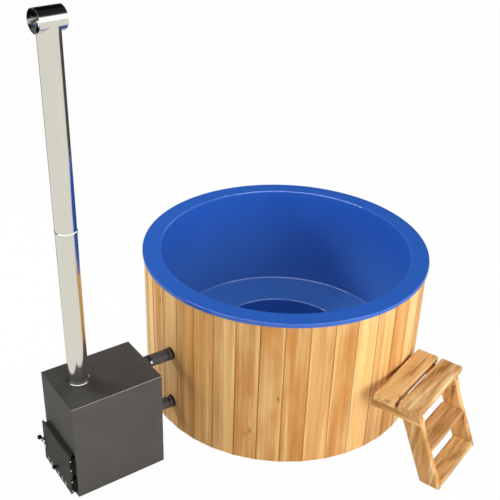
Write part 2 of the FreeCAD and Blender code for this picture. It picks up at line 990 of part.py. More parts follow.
def air_knob():
    """Ball on a stem that comes out through the door from the shutter."""
    front, back = shutter_faces()
    center = (stove_front - air_knob_out, air_knob_y, air_knob_height)
    stem = bar((front, air_knob_y, air_knob_height), center, air_stem_radius)
    return join(stem, ball(center, air_knob_radius, ALONG))


def latch_place():
    return door_far_y - latch_inset, latch_height


def latch_stud():
    y, z = latch_place()
    head_x = door_front - touch_gap * 2 - latch_hub_thickness
    shank = bar((door_front, y, z), (head_x, y, z), latch_stud_radius)
    head = bar((head_x, y, z), (head_x - latch_head_thickness, y, z), latch_head_radius)
    return join(shank, head)


def latch_lever():
    """Hub, bent rod up to the ball, and a tongue that hangs down until the lever is turned."""
    y, z = latch_place()
    back = door_front - touch_gap
    front = back - latch_hub_thickness
    rod_x = back - latch_rod_radius - touch_gap
    foot = (rod_x, y, z + latch_hub_radius - latch_rod_radius)
    bend = (rod_x, y + latch_bend_y, z + latch_bend_z)
    tip = (door_front - latch_ball_out, y + latch_ball_y, z + latch_ball_z)
    half = tongue_width / 2
    tongue = box(back - tongue_thickness, back, y - half, y + half, z - tongue_length, z)
    hub = bar((back, y, z), (front, y, z), latch_hub_radius)
    arm = join(hub, bar(foot, bend, latch_rod_radius), ball(bend, latch_rod_radius), tongue)
    arm = join(arm, bar(bend, tip, latch_rod_radius))
    arm = arm.cut(bar((back, y, z), (front, y, z), latch_stud_radius + running_gap))
    return arm.cut(ball(tip, latch_ball_radius))


def latch_ball():
    y, z = latch_place()
    return ball((door_front - latch_ball_out, y + latch_ball_y, z + latch_ball_z), latch_ball_radius)


def latch_keeper():
    """Bracket beside the door with a notch, open below, that the turned tongue swings up into."""
    y, z = latch_place()
    near = door_far_y + keeper_gap
    back = door_front - touch_gap
    notch_front = back - tongue_thickness - keeper_play
    notch_back = back + keeper_play
    top = z + tongue_width / 2 + keeper_above
    bottom = z - tongue_width / 2 - keeper_below
    far = near + keeper_width
    notch_top = z + tongue_width / 2 + keeper_play
    arm = box(notch_front - keeper_lip, stove_front, near, far, bottom, top)
    return arm.cut(box(notch_front, notch_back, near, far, bottom, notch_top))


def build_stove():
    save("stove_casing", stove_casing())
    save("stove_top", stove_top())
    save("firebox", firebox())
    save("firebox_stays", *firebox_stays())
    save("flue_duct", flue_duct())
    save("fire_grate", fire_grate())
    save("stove_spigots", *stove_spigots())
    save("door_collar", door_collar())
    save("door_seal", door_seal())
    save("casing_hinge_leaves", casing_hinge(hinge_low), casing_hinge(hinge_high))
    save("hinge_pins", hinge_pin(hinge_low), hinge_pin(hinge_high))
    save("latch_keeper", latch_keeper())
    save("fire_door", fire_door())
    save("door_hinge_leaves", door_hinge(hinge_low), door_hinge(hinge_high))
    save("hinge_bolts", *hinge_bolts(hinge_low), *hinge_bolts(hinge_high))
    save("shutter_studs", *shutter_studs())
    save("air_shutter", air_shutter())
    save("air_knob", air_knob())
    save("latch_stud", latch_stud())
    save("latch_lever", latch_lever())
    save("latch_ball", latch_ball())


# Flue

def flue_pipe(bottom, top):
    return tube((flue_x, flue_y, bottom), UP, flue_radius, flue_bore, top - bottom)


def flue_ring(bottom, height, width):
    """Rounded bead round the flue."""
    inner = flue_radius
    ring = tube((flue_x, flue_y, bottom), UP, inner + width, inner, height)
    outer = [e for e in ring.Edges if e.BoundBox.XLength > 2 * inner + width and e.BoundBox.ZLength < 0.1]
    return soften(ring, min(width, height / 2) * 0.9, outer)


def flue_coupler():
    """Sleeve inside the joint between the two lengths of flue."""
    outer = flue_bore
    bottom = flue_joint_height - coupler_length / 2
    return tube((flue_x, flue_y, bottom), UP, outer, outer - flue_wall, coupler_length)


def flue_cap():
    """Tee on top of the flue, open at both ends."""
    axis = flue_top + cap_rise
    start = (flue_x - cap_length / 2, flue_y, axis)
    neck = (flue_x, flue_y, flue_top)
    tee = join(rod(start, ALONG, cap_radius, cap_length), rod(neck, UP, flue_radius, cap_rise))
    tee = tee.cut(rod(start, ALONG, cap_radius - flue_wall, cap_length))
    tee = tee.cut(rod(neck, UP, flue_bore, cap_rise))
    tee.rotate(V(*neck), V(*UP), cap_turn)
    return tee


def build_flue():
    joint_ring_bottom = flue_joint_height - joint_ring_height / 2
    save("flue_base_ring", flue_ring(stove_height, ring_height, ring_width))
    save("flue_lower", flue_pipe(stove_height, flue_joint_height))
    save("flue_joint_ring", flue_ring(joint_ring_bottom, joint_ring_height, joint_ring_width))
    save("flue_coupler", flue_coupler())
    save("flue_upper", flue_pipe(flue_joint_height, flue_top))
    save("flue_cap", flue_cap())


# Steps, modelled along X with Y across, then turned to their place round the tub

def soft_board(x0, depth, y0, y1, top, thickness, radius):
    board = box(x0, x0 + depth, y0, y1, top - thickness, top)
    return soften(board, min(radius, thickness / 2 - 1))


def edge_rise(edge):
    return abs(edge.tangentAt(edge.FirstParameter).z)


def stringer_front(height):
    return stringer_foot - stringer_slope * height


def stringer(outer, side):
    """Slanted side board from the floor up to a rail. side is the way to its inner face."""
    inner = outer + side * stringer_thickness
    head = stringer_front(rail_underside)
    corners = [
        (stringer_foot - stringer_depth, 0, 0),
        (stringer_foot, 0, 0),
        (head, rail_underside, 0),
        (head - stringer_depth, rail_underside, 0),
    ]
    board = prism_y(corners, min(outer, inner), max(outer, inner))
    return soften(board, stringer_round, [e for e in board.Edges if edge_rise(e) > 0.5])


def rail(outer, side, cladding):
    """Level side board under the platform, trimmed where the staves come close."""
    inner = outer + side * stringer_thickness
    proud = outer - side * rail_overhang
    corners = [
        (rail_rear, rail_underside, 0),
        (stringer_front(rail_underside), rail_underside, 0),
        (rail_front, platform_underside, 0),
        (rail_rear, platform_underside, 0),
    ]
    board = prism_y(corners, min(proud, inner), max(proud, inner))
    low = [e for e in board.Edges if e.BoundBox.ZMax < rail_underside + 0.1 and e.BoundBox.YLength < 0.1]
    return spun(soften(board, rail_round, low), steps_angle).cut(cladding)


def tread_ends():
    return steps_left + stringer_thickness, steps_right - stringer_thickness


def ledger_screw_lines():
    middle = (ledger_near + ledger_far) / 2
    first = middle - (ledger_screw_count - 1) / 2 * ledger_screw_pitch
    return [first + index * ledger_screw_pitch for index in range(ledger_screw_count)]


def ledger_screw_axis(y):
    """Tip and length of a ledger screw that bites into the stave behind it."""
    tip = math.sqrt(cladding_face ** 2 - y ** 2) - ledger_screw_bite
    height = platform_underside - ledger_height / 2
    return (tip, y, height), ledger_front - tip


def ledger_screw_holes():
    holes = []
    for y in ledger_screw_lines():
        tip, length = ledger_screw_axis(y)
        holes.append(spun(rod(tip, ALONG, ledger_screw_radius + ledger_screw_gap, length), steps_angle))
    return holes


def ledger_screws():
    screws = []
    for y in ledger_screw_lines():
        tip, length = ledger_screw_axis(y)
        shank = rod(tip, ALONG, ledger_screw_radius, length)
        head = rod((ledger_front, y, tip[2]), ALONG, ledger_screw_head, ledger_screw_head_height)
        screws.append(spun(join(shank, head), steps_angle))
    return screws


def platform_ledger(cladding):
    """Batten on the staves that carries the platform's rear board."""
    bottom = platform_underside - ledger_height
    batten = box(stave_back, ledger_front, ledger_near, ledger_far, bottom, platform_underside)
    batten = spun(batten, steps_angle).cut(cladding)
    for hole in ledger_screw_holes():
        batten = batten.cut(hole)
    return batten


def build_steps():
    cladding = cladding_block()
    near, far = tread_ends()
    middle_rear = stringer_front(middle_tread_height) - stringer_depth
    bottom_rear = stringer_front(bottom_tread_height) - stringer_depth
    board_near = steps_middle - platform_length / 2
    board_far = steps_middle + platform_length / 2
    boards = {
        "rear_board": (rear_board_start, rear_board_depth, board_near, board_far,
                       platform_height, platform_thickness, board_round),
        "front_board": (front_board_start, front_board_depth, board_near, board_far,
                        platform_height, platform_thickness, board_round),
        "middle_tread": (middle_rear - middle_tread_back, middle_tread_depth, near, far,
                         middle_tread_height, middle_tread_thickness, tread_round),
        "bottom_tread": (bottom_rear + bottom_tread_inset, bottom_tread_depth, near, far,
                         bottom_tread_height, bottom_tread_thickness, tread_round),
    }
    for node, sizes in boards.items():
        save(node, spun(soft_board(*sizes), steps_angle))
    save("left_stringer", spun(stringer(steps_left, 1), steps_angle))
    save("right_stringer", spun(stringer(steps_right, -1), steps_angle))
    save("left_rail", rail(steps_left, 1, cladding))
    save("right_rail", rail(steps_right, -1, cladding))
    save("platform_ledger", platform_ledger(cladding))
    save("ledger_screws", *ledger_screws())


os.makedirs("parts", exist_ok=True)
build_tub()
build_drain()
build_stove()
build_flue()
build_steps()
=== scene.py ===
# %% [markdown]
# A wood-fired hot tub. The construction comes in as a fixed frame: every piece already has its size and
# its place, in metres, with the tub's axis at the origin. This file gives each piece its finish, and makes
# again, as smoother meshes, the pieces whose looks matter most: liner, staves, steps, hoses and flue.

# %% Load the frame
import json
import math

import bmesh
import bpy
from mathutils import Matrix, Vector


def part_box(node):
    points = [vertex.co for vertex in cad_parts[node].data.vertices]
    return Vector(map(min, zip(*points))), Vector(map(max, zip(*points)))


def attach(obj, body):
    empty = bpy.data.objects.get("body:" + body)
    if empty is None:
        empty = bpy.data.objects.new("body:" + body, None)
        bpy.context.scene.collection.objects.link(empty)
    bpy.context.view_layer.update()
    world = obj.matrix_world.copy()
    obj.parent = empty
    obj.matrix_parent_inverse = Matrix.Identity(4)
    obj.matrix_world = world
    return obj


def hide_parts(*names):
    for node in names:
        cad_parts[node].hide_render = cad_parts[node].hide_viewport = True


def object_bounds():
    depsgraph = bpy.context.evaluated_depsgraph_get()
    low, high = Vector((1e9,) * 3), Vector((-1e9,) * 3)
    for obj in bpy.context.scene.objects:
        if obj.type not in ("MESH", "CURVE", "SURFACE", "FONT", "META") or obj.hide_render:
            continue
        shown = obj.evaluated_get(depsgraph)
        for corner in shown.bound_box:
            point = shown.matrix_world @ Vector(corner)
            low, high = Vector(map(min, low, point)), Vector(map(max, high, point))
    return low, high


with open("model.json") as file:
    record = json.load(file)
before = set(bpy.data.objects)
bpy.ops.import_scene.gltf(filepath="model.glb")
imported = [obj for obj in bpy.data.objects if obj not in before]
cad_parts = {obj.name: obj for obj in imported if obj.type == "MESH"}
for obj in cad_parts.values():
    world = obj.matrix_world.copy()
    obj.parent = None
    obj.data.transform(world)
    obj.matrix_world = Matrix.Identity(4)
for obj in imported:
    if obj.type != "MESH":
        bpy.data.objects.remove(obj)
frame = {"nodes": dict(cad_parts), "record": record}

cad_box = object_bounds()

# %% [markdown]
# Colours are written as the sRGB hex values that a paint chart uses, while shaders count in linear light,
# so one function turns one into the other. A second small function adds any kind of node: its settings,
# then its inputs, where an input is a plain value or the output of another node. Materials read like a
# list of ingredients that way. A shader node's kind is written without its prefix, a ColorRamp's stops are
# passed as one more setting, and settings that many nodes share have a name. Each recipe below fills the tree of
# a new material, and the finished materials are kept by name, mostly that of the slot they belong to.

# %% Colour and node helpers
MM = 0.001
SMOOTH = {"interpolation_type": "SMOOTHSTEP"}
COLOURS = {"data_type": "RGBA"}
TIMES = {"operation": "MULTIPLY"}
TIMES_PLUS = {"operation": "MULTIPLY_ADD"}
finishes = {}


def linear(hex_colour):
    """An sRGB hex colour as linear RGBA."""
    parts = [int(hex_colour[i:i + 2], 16) / 255 for i in (1, 3, 5)]
    return tuple(c / 12.92 if c <= 0.04045 else ((c + 0.055) / 1.055) ** 2.4 for c in parts) + (1.0,)


def add(tree, kind, settings=None, inputs=None):
    """Add a node to a tree, with its settings and with values or links for its inputs."""
    node = tree.nodes.new(kind if "Node" in kind else "ShaderNode" + kind)
    for name, value in (settings or {}).items():
        if name == "stops":
            ramp = node.color_ramp.elements
            while len(ramp) < len(value):
                ramp.new(1.0)
            for stop, (place, colour) in zip(ramp, value):
                stop.position = place
                stop.color = linear(colour)
        else:
            setattr(node, name, value)
    for name, value in (inputs or {}).items():
        if isinstance(value, bpy.types.Node):
            value = value.outputs[0]
        if isinstance(value, bpy.types.NodeSocket):
            tree.links.new(value, node.inputs[name])
        else:
            node.inputs[name].default_value = value
    return node


def start_material(name):
    made = bpy.data.materials.new(name)
    made.use_nodes = True
    made.node_tree.nodes.clear()
    return made, made.node_tree


def end_material(tree, colour, roughness, relief, bump, depth_mm, more):
    """Close a material's tree: a bumped surface with a colour, a roughness and what else is given."""
    normal = add(tree, "Bump", {}, {"Height": relief, "Strength": bump, "Distance": depth_mm * MM})
    shader = add(tree, "BsdfPrincipled", {}, {"Base Color": colour, "Roughness": roughness, "Normal": normal, **more})
    add(tree, "OutputMaterial", {}, {"Surface": shader})


def stock(recipe, rows):
    """Make the materials of a table, one to a row, and keep them under the rows' names."""
    for name, (title, *row) in rows.items():
        finishes[name], tree = start_material(title)
        recipe(tree, *row)
    print(recipe.__name__, [finishes[name].name for name in rows])


def per_metre(size_mm):
    """How many features of a real size fit in a metre, which is a texture's scale."""
    return 1.0 / (size_mm * MM)


print("white is", linear("#ffffff")[:3])

# %% [markdown]
# The staves and steps are planed softwood, oiled. The eye reads it by a tone that changes from board to board,
# a wandering line between pale sapwood and darker heartwood, growth rings in long arches, brown streaks, fine
# fibres and a few knots. An image of wood would repeat on every board. Here each board carries attributes:
# grain is its own coordinate (across, through, along), far away from the other boards' coordinates, tone says
# how warm the board is, and edge runs from -1 to 1 across it. So no two boards match, and the fibres always
# follow the length.

# %% Planed softwood
RING_MM = 15.0
RING_BEND = 12.0
FIBRE_MM = 1.6
PATCH_MM = 190.0
KNOT_SPACING_MM = 420.0
KNOT_STRETCH = 0.5
HEART_SHARE = 0.38
PATCH_SHARE = 0.32
LEAST_PAINTED_JOINT_SHADE = 0.35
# Repeats per metre across and along a board, and the noise's detail.
FIGURES = {
    "arches": (6.0, 0.7, 2.0), "fibres": (per_metre(FIBRE_MM), 9.0, 3.0), "patches": (per_metre(PATCH_MM), 2.4, 2.0),
}


def planed_softwood(tree, tints, streak_mm, streak_run_mm, ring_share, streak_share, joint_share, roughness):
    """Oiled softwood in five tints: sapwood, pale wood, warm wood, late wood and knot."""
    sap, pale, warm, late, knot = [linear(tint) for tint in tints]
    grain = add(tree, "Attribute", {"attribute_name": "grain"}).outputs["Vector"]
    tone = add(tree, "Attribute", {"attribute_name": "tone"}).outputs["Fac"]
    edge = add(tree, "Attribute", {"attribute_name": "edge"}).outputs["Fac"]
    spot = add(tree, "SeparateXYZ", {}, {"Vector": grain}).outputs

    # Arches, streaks, fibres and patches are noise drawn out along the board.
    figures = dict(FIGURES, streaks=(per_metre(streak_mm), per_metre(streak_run_mm), 4.0))
    noise = {}
    for figure, (across, along, detail) in figures.items():
        way = add(tree, "Mapping", {}, {"Vector": grain, "Scale": (across, across, along)})
        noise[figure] = add(tree, "TexNoise", {}, {"Vector": way, "Scale": 1.0, "Detail": detail})

    # Knots sit on the face, one to a cell, drawn out along the board.
    squeezed = add(tree, "Math", TIMES, {0: spot["Z"], 1: KNOT_STRETCH})
    face = add(tree, "CombineXYZ", {}, {"X": spot["X"], "Y": squeezed})
    knots = add(tree, "TexVoronoi", {"feature": "F1", "voronoi_dimensions": "2D"}, {
        "Vector": face, "Scale": per_metre(KNOT_SPACING_MM)})
    knot_mask = add(tree, "ValToRGB", {"stops": [
        (0.0, "#c8c8c8"), (0.010, "#c8c8c8"), (0.022, "#606060"), (0.050, "#000000")]}, {"Fac": knots})
    knot_pull = add(tree, "MapRange", SMOOTH, {
        "Value": knots, "From Min": 0.0, "From Max": 0.16, "To Min": 1.4, "To Max": 0.0})

    # Growth rings: a count across the board, bent into arches and round the knots.
    count = add(tree, "Math", TIMES_PLUS, {0: spot["X"], 1: per_metre(RING_MM), 2: knot_pull})
    bend = add(tree, "Math", TIMES_PLUS, {0: noise["arches"], 1: RING_BEND, 2: count})
    year = add(tree, "Math", {"operation": "FRACT"}, {0: bend})
    late_wood = add(tree, "ValToRGB", {"stops": [
        (0.0, "#000000"), (0.55, "#3a3a3a"), (0.86, "#ffffff"), (1.0, "#000000")]}, {"Fac": year})

    # A board's tone, multiplied and cut, gives it two more random numbers.
    own = {}
    for use, factor in (("heart", 7.31), ("painted_joint_shade", 13.7)):
        own[use] = add(tree, "Math", TIMES, {0: tone, 1: factor})
        own[use] = add(tree, "Math", {"operation": "FRACT"}, {0: own[use]})

    # Heartwood lies on one side of a wandering line, at a different place on each board.
    split = add(tree, "Math", TIMES_PLUS, {0: own["heart"], 1: -2.6, 2: 0.55})
    wander = add(tree, "Math", TIMES_PLUS, {0: noise["arches"], 1: 1.5, 2: split})
    side = add(tree, "Math", {"operation": "ADD"}, {0: wander, 1: edge})
    heart = add(tree, "MapRange", SMOOTH, {
        "Value": side, "From Min": -0.06, "From Max": 0.14, "To Min": 0.0, "To Max": HEART_SHARE})

    # Joints are painted darker, a painted shade in their grooves, more on some boards than others.
    away = add(tree, "Math", {"operation": "ABSOLUTE"}, {0: edge})
    painted_joint_shade = add(tree, "Math", TIMES_PLUS, {0: own["painted_joint_shade"], 1: joint_share, 2: LEAST_PAINTED_JOINT_SHADE * joint_share})

    # How much there is of each: a value, its range, and what the range's ends stand for.
    spans = {
        "light": (noise["streaks"], 0.48, 0.30, 0.0, streak_share),
        "dark": (noise["streaks"], 0.52, 0.74, 0.0, streak_share),
        # Broad pale patches in the sapwood's tint are a painted highlight.
        "patch": (noise["patches"], 0.50, 0.74, 0.0, PATCH_SHARE),
        "joint": (away, 0.90, 1.0, 0.0, painted_joint_shade),
        "fibre": (noise["fibres"], 0.25, 0.75, 0.92, 1.06),
        "sheen": (noise["fibres"], 0.2, 0.8, roughness - 0.06, roughness + 0.10),
    }
    amount = {"ring": add(tree, "Math", TIMES, {0: late_wood, 1: ring_share})}
    for use, (value, low, high, first, last) in spans.items():
        amount[use] = add(tree, "MapRange", {}, {
            "Value": value, "From Min": low, "From Max": high, "To Min": first, "To Max": last})

    body = add(tree, "Mix", COLOURS, {"Factor": tone, 6: pale, 7: warm}).outputs[2]
    layers = [(heart, late), (amount["light"], sap), (amount["patch"], sap), (amount["ring"], late),
              (amount["dark"], late), (amount["joint"], knot), (knot_mask, knot)]
    for share, tint in layers:
        body = add(tree, "Mix", COLOURS, {"Factor": share, 6: body, 7: tint}).outputs[2]
    body = add(tree, "Mix", {"data_type": "RGBA", "blend_type": "MULTIPLY"}, {
        "Factor": 1.0, 6: body, 7: amount["fibre"]}).outputs[2]
    relief = add(tree, "Math", TIMES_PLUS, {0: late_wood, 1: 0.6, 2: noise["fibres"]})
    end_material(tree, body, amount["sheen"], relief, 0.22, 0.6, {"Specular IOR Level": 0.30})


STAVE_TINTS = ("#ffdf9f", "#ffd28b", "#d39143", "#a86524", "#74400f")
STEP_TINTS = ("#ffdfa8", "#fbcc88", "#e6ab62", "#97591f", "#6a3a12")
FRAME_TINTS = ("#e0c8a0", "#d8bd93", "#b59160", "#94714a", "#5d4124")
stock(planed_softwood, {
    "stave_wood": ("planed_larch_oiled", STAVE_TINTS, 42.0, 1250.0, 0.18, 0.52, 0.62, 0.46),
    "step_wood": ("planed_alder_oiled", STEP_TINTS, 32.0, 280.0, 0.14, 0.95, 0.36, 0.42),
    "frame_wood": ("sawn_spruce_raw", FRAME_TINTS, 30.0, 1250.0, 0.35, 0.40, 0.10, 0.75),
})

# %% [markdown]
# The liner is a moulded plastic shell, coloured through and let out of a polished mould. It has a soft, wet
# gloss, a very slight orange peel from the mould, and a faint cloudiness in the blue. Towards the bottom its blue
# is painted paler, painted light for the well where less light falls, and near the rounded edges of rim, bench and
# well it is painted pale, as painted highlights. A plain glossy blue would look like a toy, so the peel goes into
# the bump, and cloudiness, the paler bottom and the painted highlights go into the colour.

# %% Moulded blue plastic
PEEL_MM = 7.0
CLOUD_MM = 160.0
PAINTED_LIGHT_FULL, PAINTED_LIGHT_NONE = 0.30, 0.98
PAINTED_HIGHLIGHT_TINT = "#94b8f0"


def moulded_plastic(tree, light, deep, painted_light_tint, roughness, peel, shine):
    """Plastic from a polished mould, with a slight orange peel."""
    place = add(tree, "TexCoord").outputs["Object"]
    cloud = add(tree, "TexNoise", {}, {"Vector": place, "Scale": per_metre(CLOUD_MM), "Detail": 3.0})
    skin = add(tree, "TexNoise", {}, {"Vector": place, "Scale": per_metre(PEEL_MM), "Detail": 2.0})
    height = add(tree, "SeparateXYZ", {}, {"Vector": place}).outputs["Z"]
    # Towards the bottom the blue turns paler: painted light for the well, where less light falls.
    painted_light_low = add(tree, "MapRange", SMOOTH, {
        "Value": height, "From Min": PAINTED_LIGHT_FULL, "From Max": PAINTED_LIGHT_NONE, "To Min": 1.0, "To Max": 0.0})
    # The pale marks along the rounded edges of well, bench and rim are painted highlights.
    stretch = add(tree, "Attribute", {"attribute_name": "stretch"}).outputs["Fac"]
    colour = linear(light)
    for share, tint in ((cloud, deep), (painted_light_low, painted_light_tint), (stretch, PAINTED_HIGHLIGHT_TINT)):
        colour = add(tree, "Mix", COLOURS, {"Factor": share, 6: colour, 7: linear(tint)}).outputs[2]
    gloss = add(tree, "MapRange", {}, {
        "Value": cloud, "From Min": 0.3, "From Max": 0.7, "To Min": roughness - 0.04, "To Max": roughness + 0.05})
    end_material(tree, colour, gloss, skin, peel, 0.4, {"Specular IOR Level": shine})


stock(moulded_plastic, {
    "liner_plastic": ("polypropylene_blue_moulded", "#3067c9", "#2b5ebc", "#4c80cc", 0.12, 0.03, 0.60),
    "black_plastic": ("phenolic_black_polished", "#0b0b0c", "#060607", "#0c0c0d", 0.16, 0.03, 0.50),
    "pipe_plastic": ("abs_black_moulded", "#1d1d1f", "#151517", "#1c1c1e", 0.42, 0.15, 0.45),
})

# %% [markdown]
# The stove is welded sheet steel under heat-proof paint: a dark warm grey, nearly matt, with the fine tooth
# of sprayed silicone paint and a little dust and heat bloom. The tooth is about a millimetre, too fine to
# show at this distance, so it is drawn some three times as coarse. Rubber, raw steel, iron and rope differ
# only in colour, gloss and tooth, so the same recipe serves them.

# %% Sprayed paint, rubber, iron and rope
TOOTH_MM = 3.0
BLOOM_MM = 220.0


def toothed_coat(tree, main, bloom, roughness, tooth, metallic, shine):
    """A matt coat or cast skin: fine tooth in the bump, broad bloom in the colour."""
    place = add(tree, "TexCoord").outputs["Object"]
    fine = add(tree, "TexNoise", {}, {"Vector": place, "Scale": per_metre(TOOTH_MM), "Detail": 4.0})
    broad = add(tree, "TexNoise", {}, {"Vector": place, "Scale": per_metre(BLOOM_MM), "Detail": 5.0})
    spans = {
        "bloom": (broad, 0.35, 0.70, 0.0, 1.0),
        "speck": (fine, 0.3, 0.7, 0.92, 1.06),
        "gloss": (broad, 0.3, 0.7, roughness - 0.05, roughness + 0.06),
    }
    amount = {}
    for use, (value, low, high, first, last) in spans.items():
        amount[use] = add(tree, "MapRange", {}, {
            "Value": value, "From Min": low, "From Max": high, "To Min": first, "To Max": last})
    colour = add(tree, "Mix", COLOURS, {"Factor": amount["bloom"], 6: linear(main), 7: linear(bloom)}).outputs[2]
    colour = add(tree, "Mix", {"data_type": "RGBA", "blend_type": "MULTIPLY"}, {
        "Factor": 1.0, 6: colour, 7: amount["speck"]}).outputs[2]
    end_material(tree, colour, amount["gloss"], fine, tooth, 0.3, {"Metallic": metallic, "Specular IOR Level": shine})


stock(toothed_coat, {
    "stove_paint": ("silicone_paint_dark_grey", "#52504e", "#5a5854", 0.55, 0.25, 0.0, 0.04),
    # The collar behind the door is painted darker, a painted shade in the gap between door and casing.
    "painted_gap_shade": ("silicone_paint_sooted", "#343332", "#3a3837", 0.60, 0.25, 0.0, 0.06),
    "heated_paint": ("silicone_paint_heat_darkened", "#3f3e3d", "#474542", 0.55, 0.25, 0.0, 0.04),
    # The lid's tint is darker than the casing's, a painted shade on the top; its gloss is the paint's own.
    "lid_paint": ("silicone_paint_baked_on", "#484643", "#504e4a", 0.36, 0.25, 0.0, 0.30),
    "cut_steel": ("steel_cut_edge_bare", "#f2f1ed", "#e2e0dc", 0.55, 0.20, 0.2, 0.5),
    # The lid's near edge is painted pale, a painted highlight.
    "painted_edge_highlight": ("silicone_paint_rubbed_edge", "#b0aeaa", "#9c9a96", 0.40, 0.20, 0.0, 0.5),
    # The hinge leaves are painted near black, a painted shade for the gap between door and casing where they sit.
    "hinge_black": ("steel_black_oxide", "#141414", "#1a1918", 0.55, 0.20, 0.0, 0.08),
    "raw_steel": ("mild_steel_sooted", "#3a3835", "#26231f", 0.70, 0.50, 0.4, 0.5),
    "grate_iron": ("cast_iron_grey", "#3b3a39", "#2c2a28", 0.62, 0.80, 0.6, 0.5),
    "hose_rubber": ("epdm_rubber_extruded", "#4c4c51", "#414146", 0.40, 0.12, 0.0, 0.5),
    "seal_rope": ("glass_rope_graphite", "#3b3936", "#2e2c2a", 0.90, 1.00, 0.0, 0.5),
})

# %% [markdown]
# The flue is thin stainless sheet, rolled and polished almost to a mirror. What shows is what it reflects,
# a little drawn out along the pipe by polishing lines, and a little wavy because thin sheet is never quite
# true. So the metal is plain, the polishing lines are a noise squeezed round the pipe, and a slow, weak bump
# bends the reflections. Zinc-plated fasteners and the brass valve are the same recipe, duller.

# %% Polished and plated metal
POLISH_MM = 2.5
POLISH_RUN_MM = 250.0
WAVE_MM = 240.0


def polished_metal(tree, light, dark, roughness, wave):
    """Metal sheet or bar with fine polishing lines round it and a slight waviness."""
    place = add(tree, "TexCoord").outputs["Object"]
    run = per_metre(POLISH_RUN_MM)
    round_way = add(tree, "Mapping", {}, {"Vector": place, "Scale": (run, run, per_metre(POLISH_MM))})
    lines = add(tree, "TexNoise", {}, {"Vector": round_way, "Scale": 1.0, "Detail": 2.0})
    sheet = add(tree, "TexNoise", {}, {"Vector": place, "Scale": per_metre(WAVE_MM), "Detail": 1.0})
    colour = add(tree, "Mix", COLOURS, {"Factor": lines, 6: linear(light), 7: linear(dark)}).outputs[2]
    gloss = add(tree, "MapRange", {}, {
        "Value": lines, "From Min": 0.3, "From Max": 0.7, "To Min": roughness * 0.9, "To Max": roughness * 1.1})
    end_material(tree, colour, gloss, sheet, wave, 4.0, {"Metallic": 1.0})


stock(polished_metal, {
    "flue_steel": ("stainless_sheet_polished", "#f1f0ed", "#eeedea", 0.14, 0.03),
    "cap_steel": ("stainless_sheet_buffed", "#f1f0ed", "#eeedea", 0.17, 0.03),
    "bright_steel": ("steel_zinc_plated", "#e6e6e2", "#d2d2ce", 0.30, 0.02),
    "band_steel": ("steel_band_dulled", "#5a5856", "#474543", 0.38, 0.02),
    "valve_brass": ("brass_forged_satin", "#c9a252", "#a98238", 0.30, 0.02),
})

# %% [markdown]
# The photograph was taken with a long lens from above, in front of the stove. The camera stands where the
# rim, the stove's edges and the uprights fall as they do in the picture. Colour management stays plain, so a
# colour comes out about as it is written.

# %% Camera
CAMERA_PLACE = (-2.957, -3.6992, 3.5921)
CAMERA_TURN_DEG = (60.80039, -1.67774, -34.99031)
CAMERA_LENS_MM = 61.376

scene = bpy.context.scene
scene.view_settings.view_transform = "Standard"
camera = bpy.data.objects.new("camera", bpy.data.cameras.new("camera"))
camera.data.lens = CAMERA_LENS_MM
camera.location = CAMERA_PLACE
camera.rotation_euler = [math.radians(angle) for angle in CAMERA_TURN_DEG]
scene.collection.objects.link(camera)
scene.camera = camera
print("camera stands", round(camera.location.length, 2), "m from the tub's foot")

# %% [markdown]
# The picture is of a product on white. A sheet of white paper makes the floor. It is lit like everything
# else, so it keeps a soft shadow, and where the camera looks at it, most of its light is a plain glow of
# strength 1, which is white. Polished metal sees it as grey paper, with a painted shade on it behind the tub.

# %% White floor
FLOOR_RADIUS = 30.0
FLOOR_DROP = 1.0 * MM
PAPER_GLOW = 0.98
PAPER_IN_METAL = "#e2e0d5"
SHADE_IN_METAL = "#424240"
SHADE_AWAY = (1.7, 2.7)
# The two other edges of the shade: a direction on the floor, and where along it the shade begins and is full.
SHADE_EDGES = [((0.27, 1.0, 0.0), -1.1, 0.1), ((1.0, 0.18, 0.0), -2.2, -0.8)]

paper, tree = start_material("paper_white_matt")
rays = add(tree, "LightPath").outputs
share = rays["Is Camera Ray"]
for other in ("Is Glossy Ray", "Is Transmission Ray"):
    share = add(tree, "Math", {"operation": "MAXIMUM"}, {0: share, 1: rays[other]}).outputs[0]
share = add(tree, "Math", TIMES, {0: share, 1: PAPER_GLOW})
place = add(tree, "TexCoord").outputs["Object"]
away = add(tree, "VectorMath", {"operation": "LENGTH"}, {0: place}).outputs["Value"]
shade = add(tree, "MapRange", SMOOTH, {"Value": away, "From Min": SHADE_AWAY[0], "From Max": SHADE_AWAY[1]})
for way, begin, full in SHADE_EDGES:
    reach = add(tree, "VectorMath", {"operation": "DOT_PRODUCT"}, {0: place, 1: way}).outputs["Value"]
    reach = add(tree, "MapRange", SMOOTH, {"Value": reach, "From Min": begin, "From Max": full})
    shade = add(tree, "Math", TIMES, {0: shade, 1: reach})
in_metal = add(tree, "Mix", COLOURS, {
    "Factor": shade, 6: linear(PAPER_IN_METAL), 7: linear(SHADE_IN_METAL)}).outputs[2]
seen = add(tree, "Mix", COLOURS, {"Factor": rays["Is Glossy Ray"], 6: linear("#ffffff"), 7: in_metal}).outputs[2]
matt = add(tree, "BsdfDiffuse", {}, {"Color": linear("#f6f6f4")})
glow = add(tree, "Emission", {}, {"Color": seen, "Strength": 1.0})
blend = add(tree, "MixShader", {}, {0: share, 1: matt, 2: glow})
add(tree, "OutputMaterial", {}, {"Surface": blend})

sheet = bpy.data.meshes.new("floor")
shape = bmesh.new()
bmesh.ops.create_circle(shape, cap_ends=True, segments=64, radius=FLOOR_RADIUS)
shape.to_mesh(sheet)
shape.free()
sheet.materials.append(paper)
floor = bpy.data.objects.new("floor", sheet)
scene.collection.objects.link(floor)
floor.location.z = cad_box[0][2] - FLOOR_DROP
print("floor at", round(floor.location.z, 4), "m")

